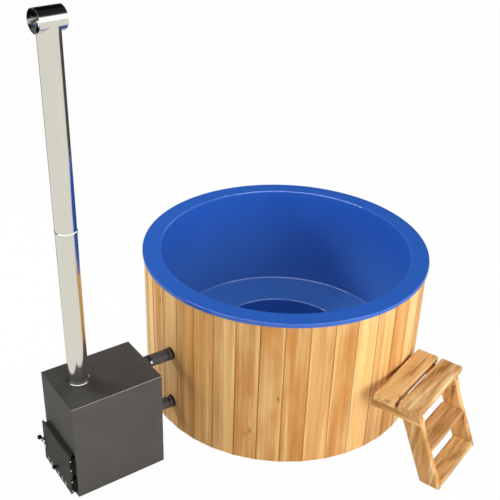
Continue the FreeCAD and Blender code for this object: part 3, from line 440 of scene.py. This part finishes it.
# %% [markdown]
# The world behind the paper is white to the camera too. Polished metal shows a studio instead: a white wall low
# down on the lamp's side and a dark ceiling, which is the black band along the top of the flue's tee. The
# ceiling also lights the object less than the walls do.

# %% Studio world
WALL_LEVEL = 1.0
CEILING_LEVEL = 0.28
WALL_IN_METAL = 1.3
LAMP_SIDE = (0.0, -1.0, 0.0)

world = bpy.data.worlds.new("studio")
world.use_nodes = True
scene.world = world
tree = world.node_tree
tree.nodes.clear()
rays = add(tree, "LightPath").outputs
way = add(tree, "TexCoord").outputs["Generated"]
height = add(tree, "SeparateXYZ", {}, {"Vector": way}).outputs["Z"]
front = add(tree, "VectorMath", {"operation": "DOT_PRODUCT"}, {0: way, 1: LAMP_SIDE}).outputs["Value"]
# A direction's height or its share of the lamp's side, its range, and the light at the range's ends.
spans = {
    "low": (height, 0.46, 0.56, 1.0, 0.01),
    "front": (front, -0.45, -0.15, 0.02, WALL_IN_METAL),
    "soft": (height, 0.15, 0.75, WALL_LEVEL, CEILING_LEVEL),
}
light = {}
for part, (value, low, high, first, last) in spans.items():
    light[part] = add(tree, "MapRange", SMOOTH, {
        "Value": value, "From Min": low, "From Max": high, "To Min": first, "To Max": last})
in_metal = add(tree, "Math", TIMES, {0: light["low"], 1: light["front"]})
level = add(tree, "Mix", {"data_type": "FLOAT"}, {"Factor": rays["Is Glossy Ray"], "A": light["soft"], "B": in_metal})
looked_at = add(tree, "Math", {"operation": "MAXIMUM"}, {0: rays["Is Camera Ray"], 1: rays["Is Transmission Ray"]})
level = add(tree, "Mix", {"data_type": "FLOAT"}, {"Factor": looked_at, "A": level, "B": 1.0})
sky = add(tree, "Background", {}, {"Color": linear("#ffffff"), "Strength": level})
add(tree, "OutputWorld", {}, {"Surface": sky})
print("world:", len(tree.nodes), "nodes")

# %% [markdown]
# One large soft lamp stands to the right of the camera, so the near side of the staves and the side of the
# stove are a little brighter than the faces turned from it. A weak one overhead reaches into the liner, and one
# behind on the left throws the flue's soft shadow over the stove's top. They are hidden from polished metal and
# wet plastic, where they would show as white squares.

# %% Soft lamps
# Place, aim, side and power.
LAMPS = {
    "key_softbox": ((1.4, -6.9, 2.7), (-0.2, -0.3, 0.5), 4.0, 315.0),
    "overhead_softbox": ((0.3, 0.5, 5.0), (0.2, 0.0, 0.5), 1.5, 36.0),
    "back_softbox": ((-3.4, 3.5, 3.4), (-0.8, 0.0, 0.5), 1.2, 130.0),
}
for name, (place, aim, side, watts) in LAMPS.items():
    lamp = bpy.data.objects.new(name, bpy.data.lights.new(name, "AREA"))
    lamp.data.size = side
    lamp.data.energy = watts
    lamp.location = place
    lamp.rotation_euler = (Vector(aim) - Vector(place)).to_track_quat("-Z", "Y").to_euler()
    lamp.visible_glossy = False
    scene.collection.objects.link(lamp)
    print(name, watts, "W")

# %% [markdown]
# Every piece of the frame first gets the finish of its slot. Where a piece's shape is right as it stands,
# that is all it needs. The others are made again below, and each new piece says which ones it stands for,
# so the frame hides those and moves the new piece with the same body.

# %% Finishes by slot
slot_of = {part["node"]: part["material_slot"] for part in frame["record"]["subparts"]}
body_of = {node: body for body, nodes in frame["record"]["behaviour"]["bodies"].items() for node in nodes}

for node, slot in slot_of.items():
    mesh = frame["nodes"][node].data
    mesh.materials.clear()
    mesh.materials.append(finishes[slot])


def show(name, mesh, *nodes):
    """Put a finished mesh in the scene in place of some nodes, with their finish and their body."""
    piece = bpy.data.objects.new(name, mesh)
    scene.collection.objects.link(piece)
    slot = slot_of[nodes[0]]
    if not mesh.materials:
        mesh.materials.append(finishes[slot])
    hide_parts(*nodes)
    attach(piece, body_of[nodes[0]])
    return piece


print(len(slot_of), "pieces finished in", len(set(slot_of.values())), "materials")

# %% [markdown]
# Round pieces are turned: an outline of radius and height is carried round an axis. On a moulding no corner
# is sharp, so the outline is written as corners with a rounding, and a small function puts the arcs in. The
# lathe works about the upright axis, and pieces that lie along the stove's hoses are laid over afterwards.

# %% A lathe with rounded outlines
ON_AXIS = 0.01 * MM


def rounded(corners, steps=6):
    """Points in metres along corners of (radius, height, rounding) in millimetres."""
    points = []
    for index, (x, y, rounding) in enumerate(corners):
        here = Vector((x, y))
        if not rounding:
            points.append(here * MM)
            continue
        back = (Vector(corners[index - 1][:2]) - here).normalized()
        ahead = (Vector(corners[(index + 1) % len(corners)][:2]) - here).normalized()
        half = back.angle(ahead) / 2
        reach = rounding / math.tan(half)
        middle = here + (back + ahead).normalized() * rounding / math.sin(half)
        start = here + back * reach - middle
        end = here + ahead * reach - middle
        for step in range(steps + 1):
            points.append((middle + start.lerp(end, step / steps).normalized() * rounding) * MM)
    return points


def lathe(name, outline, closed=True, segments=128, steps=6):
    """Turn an outline about the upright axis. An open outline starts and ends on the axis."""
    shape = bmesh.new()
    rings = []
    for radius, height in rounded(outline, steps):
        turns = segments if radius > ON_AXIS else 1
        angles = [2 * math.pi * k / segments for k in range(turns)]
        rings.append([shape.verts.new((radius * math.cos(a), radius * math.sin(a), height)) for a in angles])
    followers = rings[1:] + rings[:1] if closed else rings[1:]
    for ring, follower in zip(rings, followers):
        for k in range(segments):
            corners = [ring[k % len(ring)], ring[(k + 1) % len(ring)],
                       follower[(k + 1) % len(follower)], follower[k % len(follower)]]
            shape.faces.new(list(dict.fromkeys(corners)))
    bmesh.ops.recalc_face_normals(shape, faces=shape.faces)
    mesh = bpy.data.meshes.new(name)
    shape.to_mesh(mesh)
    shape.free()
    return mesh


def even_shading(piece, crease=35.0):
    """Smooth shading that keeps creases, with the large faces deciding the normals."""
    piece.data.shade_smooth()
    piece.data.set_sharp_from_angle(angle=math.radians(crease))
    piece.modifiers.new("even_faces", "WEIGHTED_NORMAL").keep_sharp = True
    return piece


print("an arc of 6 steps turns", 90 / 6, "degrees a step")

# %% [markdown]
# The liner is one moulded shell, 6 mm thick: floor, foot well, bench, sloping wall, flat rim and a lip that
# hangs over the staves. A shell could be one sheet with a Solidify modifier, but then the rim's underside and
# the lip would not be at hand, so the outline runs down the wet side, round the lip and back underneath. Two
# water ways and the drain are then drilled through it, as a fitter would, with a cutter for each hole. Points
# near the edges of well, bench and rim get a painted highlight, which the plastic's colour reads.

# %% Liner
WET_SIDE = [
    (0, 80, 0), (440, 80, 10), (450, 302, 8), (757, 302, 10), (786, 1000, 12), (900, 1000, 5), (900, 975, 2),
]
DRY_SIDE = [
    (894, 975, 2), (894, 994, 0), (792, 994, 6), (763, 296, 16), (456, 296, 8), (446, 74, 16), (0, 74, 0),
]
HOSE_AXIS_Y = -70 * MM
HOSE_HEIGHTS = {"upper_hose": 545.5 * MM, "lower_hose": 187 * MM}
PIPE_HOLE = 30.2 * MM
DRAIN_HOLE = 24.2 * MM
HOLES = [
    ((-0.9, HOSE_AXIS_Y, HOSE_HEIGHTS["upper_hose"]), (1, 0, 0), PIPE_HOLE, 0.3),
    ((-0.9, HOSE_AXIS_Y, HOSE_HEIGHTS["lower_hose"]), (1, 0, 0), PIPE_HOLE, 0.5),
    ((0.2, 0.15, 0.0), (0, 0, 1), DRAIN_HOLE, 0.2),
]


def drilled(mesh, holes):
    """The mesh with round holes, each given by its start, its direction, its radius and its length in metres."""
    host = bpy.data.objects.new("host", mesh)
    scene.collection.objects.link(host)
    drills = []
    for start, way, radius, length in holes:
        shape = bmesh.new()
        turn = Vector(way).to_track_quat("Z", "Y").to_matrix().to_4x4()
        place = Matrix.Translation(Vector(start) + Vector(way) * length / 2) @ turn
        bmesh.ops.create_cone(shape, cap_ends=True, segments=48, radius1=radius, radius2=radius, depth=length,
                              matrix=place)
        drill = bpy.data.objects.new("drill", bpy.data.meshes.new("drill"))
        shape.to_mesh(drill.data)
        shape.free()
        scene.collection.objects.link(drill)
        host.modifiers.new("hole", "BOOLEAN").object = drill
        drills.append(drill)
    done = bpy.data.meshes.new_from_object(host.evaluated_get(bpy.context.evaluated_depsgraph_get()))
    done.name = mesh.name
    for helper in drills + [host]:
        bpy.data.objects.remove(helper)
    return done


WELL_EDGE, WALL_FOOT, RIM_EDGE = WET_SIDE[2:5]
# Painted highlights along the rounded edges: how strong at each corner, and how far they reach.
PAINTED_HIGHLIGHT_AT = {WELL_EDGE: 0.55, WALL_FOOT: 0.40, RIM_EDGE: 0.14}
PAINTED_HIGHLIGHT_MM = 7.5


def mark_painted_highlight(mesh, corners):
    """Store a painted highlight for each point near a rounded corner of the outline, from 0 to the corner's share."""
    marks = []
    for vertex in mesh.vertices:
        radius, height = vertex.co.xy.length / MM, vertex.co.z / MM
        near = [share * min(2 - 2 * math.hypot(radius - x, height - y) / PAINTED_HIGHLIGHT_MM, 1.0)
                for (x, y, _), share in corners.items()]
        marks.append(max(near + [0.0]))
    mesh.attributes.new("stretch", "FLOAT", "POINT").data.foreach_set("value", marks)
    return mesh


shell = lathe("liner_shell", WET_SIDE + DRY_SIDE, closed=False, segments=192, steps=10)
shell = mark_painted_highlight(drilled(shell, HOLES), PAINTED_HIGHLIGHT_AT)
liner = even_shading(show("liner_shell", shell, "liner"))
print("liner:", len(shell.polygons), "faces,", len(HOLES), "holes")

# %% [markdown]
# Wet plastic shows a long strip light overhead as a thin bright line along each rounded edge that faces it: rim,
# lip, bench and foot well. Polished metal would show the same strip as a white band, so only the liner receives
# it, and it adds nothing to the plain light.

# %% Strip light for the wet edges
STRIP_PLACE = (-0.9, 0.0, 5.0)
STRIP_TURN = math.radians(-38.6)
STRIP_SIZE = (9.0, 0.9)
STRIP_WATTS = 440.0

strip = bpy.data.objects.new("edge_strip", bpy.data.lights.new("edge_strip", "AREA"))
strip.data.shape = "RECTANGLE"
strip.data.size, strip.data.size_y = STRIP_SIZE
strip.data.energy = STRIP_WATTS
strip.location = STRIP_PLACE
strip.rotation_euler = (0.0, 0.0, STRIP_TURN)
strip.visible_diffuse = False
scene.collection.objects.link(strip)
wet = bpy.data.collections.new("wet_plastic")
wet.objects.link(liner)
strip.light_linking.receiver_collection = wet
print("strip light:", STRIP_SIZE, "m,", STRIP_WATTS, "W")

# %% [markdown]
# Forty staves stand round the liner, all of one shape. That is a rule, so Geometry Nodes make them: a
# four-sided outline with rounded arrises is drawn out to the height of a stave, set at its distance from the
# axis and repeated round it. Each stave stores where its own wood is (grain, edge) before it is turned to its
# place, and after the copies are made real, its number moves the grain far along and gives the board a tone.

# %% Stave tree
SOCKETS = {int: "NodeSocketInt", float: "NodeSocketFloat", tuple: "NodeSocketVector"}


def start_tree(name, sizes):
    """A Geometry Nodes tree with named inputs, of the kinds that their default values have."""
    tree = bpy.data.node_groups.new(name, "GeometryNodeTree")
    for label, value in sizes.items():
        tree.interface.new_socket(label, in_out="INPUT", socket_type=SOCKETS[type(value)]).default_value = value
    tree.interface.new_socket("Geometry", in_out="OUTPUT", socket_type="NodeSocketGeometry")
    return tree, add(tree, "NodeGroupInput").outputs


FAR_APART = 90.0
PALEST, WARMEST = 0.02, 0.95
STAVE_SIZES = {
    "Count": 40, "Face": 888 * MM, "Thickness": 22 * MM, "Joint": 0.4 * MM, "Arris": 2.0 * MM,
    "Bottom": 3 * MM, "Top": 994 * MM, "Turn": math.radians(3.9), "Seed": 7,
}
tree, size = start_tree("ring_of_staves", STAVE_SIZES)
half_turn = add(tree, "Math", {"operation": "DIVIDE"}, {0: math.pi, 1: size["Count"]})
slope = add(tree, "Math", {"operation": "TANGENT"}, {0: half_turn})
spread = add(tree, "Math", TIMES, {0: slope, 1: 2.0})
gap = add(tree, "Math", TIMES, {0: size["Joint"], 1: -1.0})
back = add(tree, "Math", {"operation": "SUBTRACT"}, {0: size["Face"], 1: size["Thickness"]})
face_width = add(tree, "Math", TIMES_PLUS, {0: size["Face"], 1: spread, 2: gap})
back_width = add(tree, "Math", TIMES_PLUS, {0: back, 1: spread, 2: gap})
middle = add(tree, "Math", TIMES_PLUS, {0: size["Thickness"], 1: -0.5, 2: size["Face"]})
section = add(tree, "GeometryNodeCurvePrimitiveQuadrilateral", {"mode": "TRAPEZOID"}, {
    "Height": size["Thickness"], "Bottom Width": back_width, "Top Width": face_width, "Offset": 0.0})
section = add(tree, "GeometryNodeFilletCurve", {"mode": "POLY"}, {
    "Curve": section, "Count": 2, "Radius": size["Arris"]})
foot = add(tree, "CombineXYZ", {}, {"Z": size["Bottom"]})
head = add(tree, "CombineXYZ", {}, {"Z": size["Top"]})
height = add(tree, "GeometryNodeCurvePrimitiveLine", {}, {"Start": foot, "End": head})
board = add(tree, "GeometryNodeCurveToMesh", {}, {"Curve": height, "Profile Curve": section, "Fill Caps": True})
here = add(tree, "GeometryNodeInputPosition")
sideways = add(tree, "SeparateXYZ", {}, {"Vector": here}).outputs["X"]
half_width = add(tree, "Math", TIMES, {0: face_width, 1: 0.5})
edge = add(tree, "Math", {"operation": "DIVIDE"}, {0: sideways, 1: half_width})
for name, kind, value in (("grain", "FLOAT_VECTOR", here), ("edge", "FLOAT", edge)):
    board = add(tree, "GeometryNodeStoreNamedAttribute", {"data_type": kind}, {
        "Geometry": board, "Name": name, "Value": value})
outward = add(tree, "CombineXYZ", {}, {"Y": middle})
board = add(tree, "GeometryNodeTransform", {}, {"Geometry": board, "Translation": outward})
number = add(tree, "GeometryNodeInputIndex")
pitch = add(tree, "Math", TIMES, {0: half_turn, 1: 2.0})
turn = add(tree, "Math", TIMES_PLUS, {0: number, 1: pitch, 2: size["Turn"]})
spots = add(tree, "GeometryNodePoints", {}, {"Count": size["Count"]})
ring = add(tree, "GeometryNodeInstanceOnPoints", {}, {
    "Points": spots, "Instance": board, "Rotation": add(tree, "CombineXYZ", {}, {"Z": turn})})
ring = add(tree, "GeometryNodeStoreNamedAttribute", {"data_type": "INT", "domain": "INSTANCE"}, {
    "Geometry": ring, "Name": "stave", "Value": number})
ring = add(tree, "GeometryNodeRealizeInstances", {}, {"Geometry": ring})
stave = add(tree, "GeometryNodeInputNamedAttribute", {"data_type": "INT"}, {"Name": "stave"}).outputs[0]
own = add(tree, "GeometryNodeInputNamedAttribute", {"data_type": "FLOAT_VECTOR"}, {"Name": "grain"}).outputs[0]
apart = add(tree, "FunctionNodeRandomValue", {"data_type": "FLOAT_VECTOR"}, {
    "Min": (-FAR_APART,) * 3, "Max": (FAR_APART,) * 3, "ID": stave, "Seed": size["Seed"]}).outputs[0]
moved = add(tree, "VectorMath", {"operation": "ADD"}, {0: own, 1: apart})
tone = add(tree, "FunctionNodeRandomValue", {"data_type": "FLOAT"}, {
    2: PALEST, 3: WARMEST, "ID": stave, "Seed": size["Seed"]}).outputs[1]
for name, kind, value in (("grain", "FLOAT_VECTOR", moved), ("tone", "FLOAT", tone)):
    ring = add(tree, "GeometryNodeStoreNamedAttribute", {"data_type": kind}, {
        "Geometry": ring, "Name": name, "Value": value})
ring = add(tree, "GeometryNodeSetMaterial", {}, {"Geometry": ring, "Material": finishes["stave_wood"]})
add(tree, "NodeGroupOutput", {}, {"Geometry": ring})
print("stave tree:", len(tree.nodes), "nodes")

# %% [markdown]
# A tree makes nothing until an object uses it. This function lends it an empty mesh, sets any sizes that
# differ from the tree's own, evaluates it once and keeps the result as a plain mesh with its attributes.

# %% Grow the staves
def grow(name, tree, sizes=None):
    """The plain mesh that a tree makes, with its faces pointing outwards."""
    host = bpy.data.objects.new(name + "_host", bpy.data.meshes.new(name + "_host"))
    scene.collection.objects.link(host)
    modifier = host.modifiers.new("grow", "NODES")
    modifier.node_group = tree
    for item in tree.interface.items_tree:
        if item.name in (sizes or {}):
            modifier[item.identifier] = sizes[item.name]
    grown = host.evaluated_get(bpy.context.evaluated_depsgraph_get())
    mesh = bpy.data.meshes.new_from_object(grown)
    bpy.data.objects.remove(host)
    shape = bmesh.new()
    shape.from_mesh(mesh)
    bmesh.ops.recalc_face_normals(shape, faces=shape.faces)
    shape.to_mesh(mesh)
    shape.free()
    mesh.name = name
    return mesh


staves = even_shading(show("stave_ring", grow("stave_ring", tree), "cladding_staves"), crease=50.0)
print("staves:", len(staves.data.polygons), "faces")

# %% [markdown]
# The steps are a few planed boards, each with its own run of grain. Their shapes, with rounded edges, come
# from the frame. A node's mesh is loose triangles and stays as it is, so a copy is merged into one skin, and
# the copy gets the attributes that the wood reads, with across, through and along in metres.

# %% Boards of the steps
MERGE_REACH = 0.005 * MM
FLAT = math.radians(0.2)


def merged(node):
    """A copy of a node's mesh with its loose triangles joined."""
    shape = bmesh.new()
    shape.from_mesh(frame["nodes"][node].data)
    bmesh.ops.remove_doubles(shape, verts=shape.verts, dist=MERGE_REACH)
    bmesh.ops.dissolve_limit(shape, angle_limit=FLAT, verts=shape.verts, edges=shape.edges)
    mesh = bpy.data.meshes.new(node + "_skin")
    shape.to_mesh(mesh)
    shape.free()
    if "custom_normal" in mesh.attributes:
        mesh.attributes.remove(mesh.attributes["custom_normal"])
    mesh.materials.clear()
    return mesh


def lay_grain(mesh, along, across, start, tone):
    """Give a board its own grain, running along it from a start that no other board has."""
    along = Vector(along).normalized()
    across = Vector(across).normalized()
    through = along.cross(across)
    own = [(v.co.dot(across), v.co.dot(through), v.co.dot(along)) for v in mesh.vertices]
    low = min(point[0] for point in own)
    width = max(point[0] for point in own) - low
    marks = {
        "grain": ("FLOAT_VECTOR", "vector", [c + s for point in own for c, s in zip(point, start)]),
        "tone": ("FLOAT", "value", [tone] * len(own)),
        "edge": ("FLOAT", "value", [(point[0] - low) / width * 2 - 1 for point in own]),
    }
    for name, (kind, field, values) in marks.items():
        mesh.attributes.new(name, kind, "POINT").data.foreach_set(field, values)


def show_timber(boards, ending, first, step, crease):
    """Show boards, each given by along, across and tone, with grains that start at first and then a step apart."""
    for count, (node, (along, across, tone)) in enumerate(boards.items()):
        mesh = merged(node)
        lay_grain(mesh, along, across, [f + s * count for f, s in zip(first, step)], tone)
        even_shading(show(node + ending, mesh, node), crease=crease)
    print("timber" + ending, len(boards))


STEPS_TURN = math.radians(-71.7)
STRINGER_SLOPE = 0.42
outward = Vector((math.cos(STEPS_TURN), math.sin(STEPS_TURN), 0.0))
sideways = Vector((-math.sin(STEPS_TURN), math.cos(STEPS_TURN), 0.0))
upward = Vector((0.0, 0.0, 1.0))
lean = upward - outward * STRINGER_SLOPE
show_timber({
    "rear_board": (sideways, outward, 0.12), "front_board": (sideways, outward, 0.30),
    "middle_tread": (sideways, outward, 0.45), "bottom_tread": (sideways, outward, 0.40),
    "left_stringer": (lean, outward, 0.69), "right_stringer": (lean, outward, 0.35),
    "left_rail": (outward, upward, 0.60), "right_rail": (outward, upward, 0.45),
}, "_planed", (3.0, 0.0, 0.0), (11.3, 7.1, 5.7), crease=40.0)

# %% [markdown]
# Behind the staves are rough timbers that nobody sees once the tub stands: hoops, floor bearers, posts and
# the batten for the platform. They keep the frame's shape and only need a grain to run along.

# %% Hidden timbers
X_WAY, Y_WAY = Vector((1.0, 0.0, 0.0)), Vector((0.0, 1.0, 0.0))
PLAIN = 0.5
show_timber({
    "upper_hoop": (X_WAY, upward, PLAIN), "middle_hoop": (X_WAY, upward, PLAIN),
    "lower_hoop": (X_WAY, upward, PLAIN), "base_bearers": (X_WAY, Y_WAY, PLAIN),
    "bench_props": (upward, X_WAY, PLAIN), "platform_ledger": (sideways, upward, PLAIN),
}, "_sawn", (-5.0, 0.0, 0.0), (-13.9, 2.3, 9.1), crease=30.0)

# %% [markdown]
# The flue is two lengths of thin polished pipe with a bright bead at the foot and at the joint. A polished
# cylinder shows every facet, so the pipes are turned with many segments. They are made on the upright axis
# and their points are then moved to the flue's place, because a finished piece keeps its object at the origin.

# %% Flue pipes and beads
FLUE_PLACE = Matrix.Translation((-1.494, -0.097, 0.0))
FLUE_PARTS = {
    "flue_lower": [(56, 624, 0), (57, 624, 0), (57, 1559, 0), (56, 1559, 0)],
    "flue_upper": [(56, 1559, 0), (57, 1559, 0), (57, 2560, 0), (56, 2560, 0)],
    "flue_base_ring": [
        (57.05, 624, 0), (63, 624, 0.5), (63, 626, 0.5), (61.2, 630, 0.5), (61.2, 638, 1), (57.05, 640, 0)],
    "flue_joint_ring": [(57.05, 1553, 0), (59.5, 1553, 0.8), (59.5, 1560, 0.8), (57.05, 1565, 0)],
}
for node, outline in FLUE_PARTS.items():
    mesh = lathe(node + "_rolled", outline, segments=160, steps=4)
    mesh.transform(FLUE_PLACE)
    even_shading(show(node + "_rolled", mesh, node))
print("flue parts:", len(FLUE_PARTS))

# %% [markdown]
# Two short rubber hoses join the stove to the tub. They are held straight by a pipe at each end, so they are
# turned pieces too, laid over onto the line of the pipes. Under each clamp the rubber gives a little, and the
# ends are cut square with a soft edge.

# %% Hoses
HOSE_START_MM = -1089.0
HOSE_END_MM = -897.5
SKIN_MM, NIPPED_MM, BORE_MM = 37, 36.6, 30.2
CLAMPS_MM = (HOSE_START_MM + 48, HOSE_END_MM - 22)
BAND_HALF_MM, DIP_HALF_MM = 6, 8
LAID_OVER = Matrix.Rotation(math.radians(90), 4, "Y")


def hose_outline():
    """Outer skin with a dip under each clamp, then back along the bore."""
    skin = [(SKIN_MM, HOSE_START_MM, 2)]
    for band in CLAMPS_MM:
        skin += [(SKIN_MM, band - DIP_HALF_MM, 2), (NIPPED_MM, band - BAND_HALF_MM, 0),
                 (NIPPED_MM, band + BAND_HALF_MM, 0), (SKIN_MM, band + DIP_HALF_MM, 2)]
    return skin + [(SKIN_MM, HOSE_END_MM, 2), (BORE_MM, HOSE_END_MM, 0), (BORE_MM, HOSE_START_MM, 0)]


for node, height in HOSE_HEIGHTS.items():
    mesh = lathe(node + "_rubber", hose_outline(), segments=96, steps=4)
    mesh.transform(Matrix.Translation((0.0, HOSE_AXIS_Y, height)) @ LAID_OVER)
    even_shading(show(node + "_rubber", mesh, node), crease=50.0)
print("hoses:", HOSE_END_MM - HOSE_START_MM, "mm long")

# %% [markdown]
# The stove is folded and welded plate. A folded edge is never razor sharp, and its small round catches a line
# of light, which is most of what makes a dark box read as steel. So the plates' long edges are bevelled by a
# millimetre or two on merged copies, and short edges, round holes above all, are left alone.

# %% Stove plates
SHARP = math.radians(50)


def plated(node, edge_mm, shortest_mm=15.0):
    """A merged copy with its long sharp edges rounded."""
    mesh = merged(node)
    shape = bmesh.new()
    shape.from_mesh(mesh)
    sharp = [edge for edge in shape.edges if len(edge.link_faces) == 2
             and edge.calc_face_angle() > SHARP and edge.calc_length() > shortest_mm * MM]
    bmesh.ops.bevel(shape, geom=sharp, offset=edge_mm * MM, segments=3, profile=0.5, affect="EDGES",
                    clamp_overlap=True)
    shape.to_mesh(mesh)
    shape.free()
    return even_shading(show(node + "_plate", mesh, node))


PLATES = {
    "stove_casing": 1.6, "stove_top": 1.2, "fire_door": 1.5, "door_collar": 1.2,
    "casing_hinge_leaves": 0.6, "door_hinge_leaves": 0.6, "latch_keeper": 0.8,
}
plates = {node: plated(node, edge_mm).data for node, edge_mm in PLATES.items()}
print("plates:", {node: len(mesh.polygons) for node, mesh in plates.items()})

# %% [markdown]
# The lid and the door get the hottest: heat bakes the lid's paint to a soft gloss and darkens the door's. The lid's
# tint is also a little darker than the casing's, a painted shade on the top. The collar behind the door is painted
# darker, a painted shade in the gap, and the near edge of the lid is painted pale, a painted highlight. The six
# air slots in the door were cut after painting, and their walls are bare bright steel. These are single faces of a
# painted plate, so they get a second finish on the same mesh.

# %% Bare edges, painted shade and painted highlight
SLOT_LOW, SLOT_HIGH = 37 * MM, 67 * MM
UPRIGHT = 0.5
OWN_PAINT = {"stove_top": "lid_paint", "fire_door": "heated_paint", "door_collar": "painted_gap_shade"}


def bare(mesh, finish, chosen):
    """Give the chosen faces of a plate a second finish and count them."""
    mesh.materials.append(finishes[finish])
    faces = [face for face in mesh.polygons if chosen(face)]
    for face in faces:
        face.material_index = len(mesh.materials) - 1
    return len(faces)


for node, paint in OWN_PAINT.items():
    plates[node].materials[0] = finishes[paint]
# The lid's faces turned to the near side get a painted highlight.
painted_highlight_faces = bare(plates["stove_top"], "painted_edge_highlight", lambda face: face.normal.y < -UPRIGHT)
cut = bare(plates["fire_door"], "cut_steel", lambda face: abs(face.normal.x) < UPRIGHT
           and SLOT_LOW < face.center.z < SLOT_HIGH)
print("bare faces:", painted_highlight_faces, "on the lid,", cut, "in the slots")

# %% [markdown]
# The rest are small turned, cast and bent fittings whose shape is right in the frame. Merged copies with
# smooth shading keep their curves clean in reflections: knobs, rods, pins, clamps, collars, tee and valve.

# %% Small fittings
FITTINGS = [
    "flue_cap", "flue_coupler", "wall_collars", "hose_clamps", "stove_spigots", "upper_wall_pipe", "lower_wall_pipe",
    "wall_grilles", "wall_lock_nuts", "hinge_pins", "air_knob", "air_shutter", "shutter_studs", "latch_stud",
    "latch_lever", "latch_ball", "drain_strainer", "drain_sump", "drain_pipe", "drain_valve_body", "drain_ball",
    "drain_lever", "ledger_screws",
]
for node in FITTINGS:
    even_shading(show(node + "_smooth", merged(node), node), crease=32.0)
bpy.data.objects["flue_cap_smooth"].data.materials[0] = finishes["cap_steel"]
print("fittings:", len(FITTINGS))

# %% [markdown]
# A hose clamp is a dulled steel band with a bright housing for its screw. Only the housing stands away from
# the hose, so every face close to the hose's axis is band.

# %% Clamp bands
BAND_REACH = 38.4 * MM


def near_hose(face):
    reach = [math.hypot(face.center.y - HOSE_AXIS_Y, face.center.z - height) for height in HOSE_HEIGHTS.values()]
    return min(reach) < BAND_REACH


bands = bare(bpy.data.objects["hose_clamps_smooth"].data, "band_steel", near_hose)
print("band faces:", bands)

# %% [markdown]
# Four bright bolts hold the door's hinge leaves. They are alike and stand in two pairs, so one is drawn as a
# tree and set at four points. Bolts are the first thing to look wrong when they are plain discs, so the head
# is a dome: the upper half of a ball, closed below by a disc, on a shank that goes into the door's edge.

# %% Hinge bolts
corner_low, corner_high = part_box("hinge_bolts")
HEAD_RADIUS = 5 * MM
HEAD_HEIGHT = 4 * MM
FACETS = 24
BOLT_SIZES = {
    "Head radius": HEAD_RADIUS, "Head height": HEAD_HEIGHT, "Shank radius": 3 * MM, "Shank length": 14 * MM,
    "Pair": 66 * MM, "Rise": 0.15, "First": (0.0, 0.0, 0.0),
}
tree, size = start_tree("pairs_of_bolts", BOLT_SIZES)
ball = add(tree, "GeometryNodeMeshUVSphere", {}, {"Segments": FACETS, "Rings": FACETS // 2, "Radius": 1.0})
height = add(tree, "SeparateXYZ", {}, {"Vector": add(tree, "GeometryNodeInputPosition")}).outputs["Z"]
below = add(tree, "FunctionNodeCompare", {"operation": "LESS_THAN"}, {0: height, 1: 0.0})
dome = add(tree, "GeometryNodeDeleteGeometry", {"domain": "FACE"}, {"Geometry": ball, "Selection": below})
disc = add(tree, "GeometryNodeMeshCircle", {"fill_type": "NGON"}, {"Vertices": FACETS, "Radius": 1.0})
head = add(tree, "GeometryNodeJoinGeometry", {}, {"Geometry": dome})
tree.links.new(disc.outputs[0], head.inputs[0])
head = add(tree, "GeometryNodeMergeByDistance", {}, {"Geometry": head, "Distance": 0.01})
flatten = add(tree, "CombineXYZ", {}, {"X": size["Head radius"], "Y": size["Head radius"], "Z": size["Head height"]})
head = add(tree, "GeometryNodeTransform", {}, {"Geometry": head, "Scale": flatten})
shank = add(tree, "GeometryNodeMeshCylinder", {}, {
    "Vertices": FACETS, "Radius": size["Shank radius"], "Depth": size["Shank length"]}).outputs["Mesh"]
sink = add(tree, "Math", TIMES, {0: size["Shank length"], 1: -0.5})
shank = add(tree, "GeometryNodeTransform", {}, {
    "Geometry": shank, "Translation": add(tree, "CombineXYZ", {}, {"Z": sink})})
bolt = add(tree, "GeometryNodeJoinGeometry", {}, {"Geometry": head})
tree.links.new(shank.outputs[0], bolt.inputs[0])
number = add(tree, "GeometryNodeInputIndex")
second = add(tree, "Math", {"operation": "MODULO"}, {0: number, 1: 2.0})
upper = add(tree, "Math", {"operation": "GREATER_THAN"}, {0: number, 1: 1.5})
lift = add(tree, "Math", TIMES, {0: second, 1: size["Pair"]})
lift = add(tree, "Math", TIMES_PLUS, {0: upper, 1: size["Rise"], 2: lift})
spot = add(tree, "VectorMath", {"operation": "ADD"}, {0: size["First"], 1: add(tree, "CombineXYZ", {}, {"Z": lift})})
spots = add(tree, "GeometryNodePoints", {}, {"Count": 4, "Position": spot})
bolts = add(tree, "GeometryNodeInstanceOnPoints", {}, {
    "Points": spots, "Instance": bolt, "Rotation": (math.radians(90), 0.0, 0.0)})
bolts = add(tree, "GeometryNodeRealizeInstances", {}, {"Geometry": bolts})
bolts = add(tree, "GeometryNodeSetMaterial", {}, {"Geometry": bolts, "Material": finishes["bright_steel"]})
add(tree, "NodeGroupOutput", {}, {"Geometry": bolts})

first_bolt = ((corner_low[0] + corner_high[0]) / 2, corner_low[1] + HEAD_HEIGHT, corner_low[2] + HEAD_RADIUS)
rise = corner_high[2] - corner_low[2] - 2 * HEAD_RADIUS - BOLT_SIZES["Pair"]
mesh = grow("hinge_bolts_domed", tree, {"First": first_bolt, "Rise": rise})
even_shading(show("hinge_bolts_domed", mesh, "hinge_bolts"))
print("bolts:", len(mesh.polygons), "faces, pairs", round(rise, 4), "m apart")
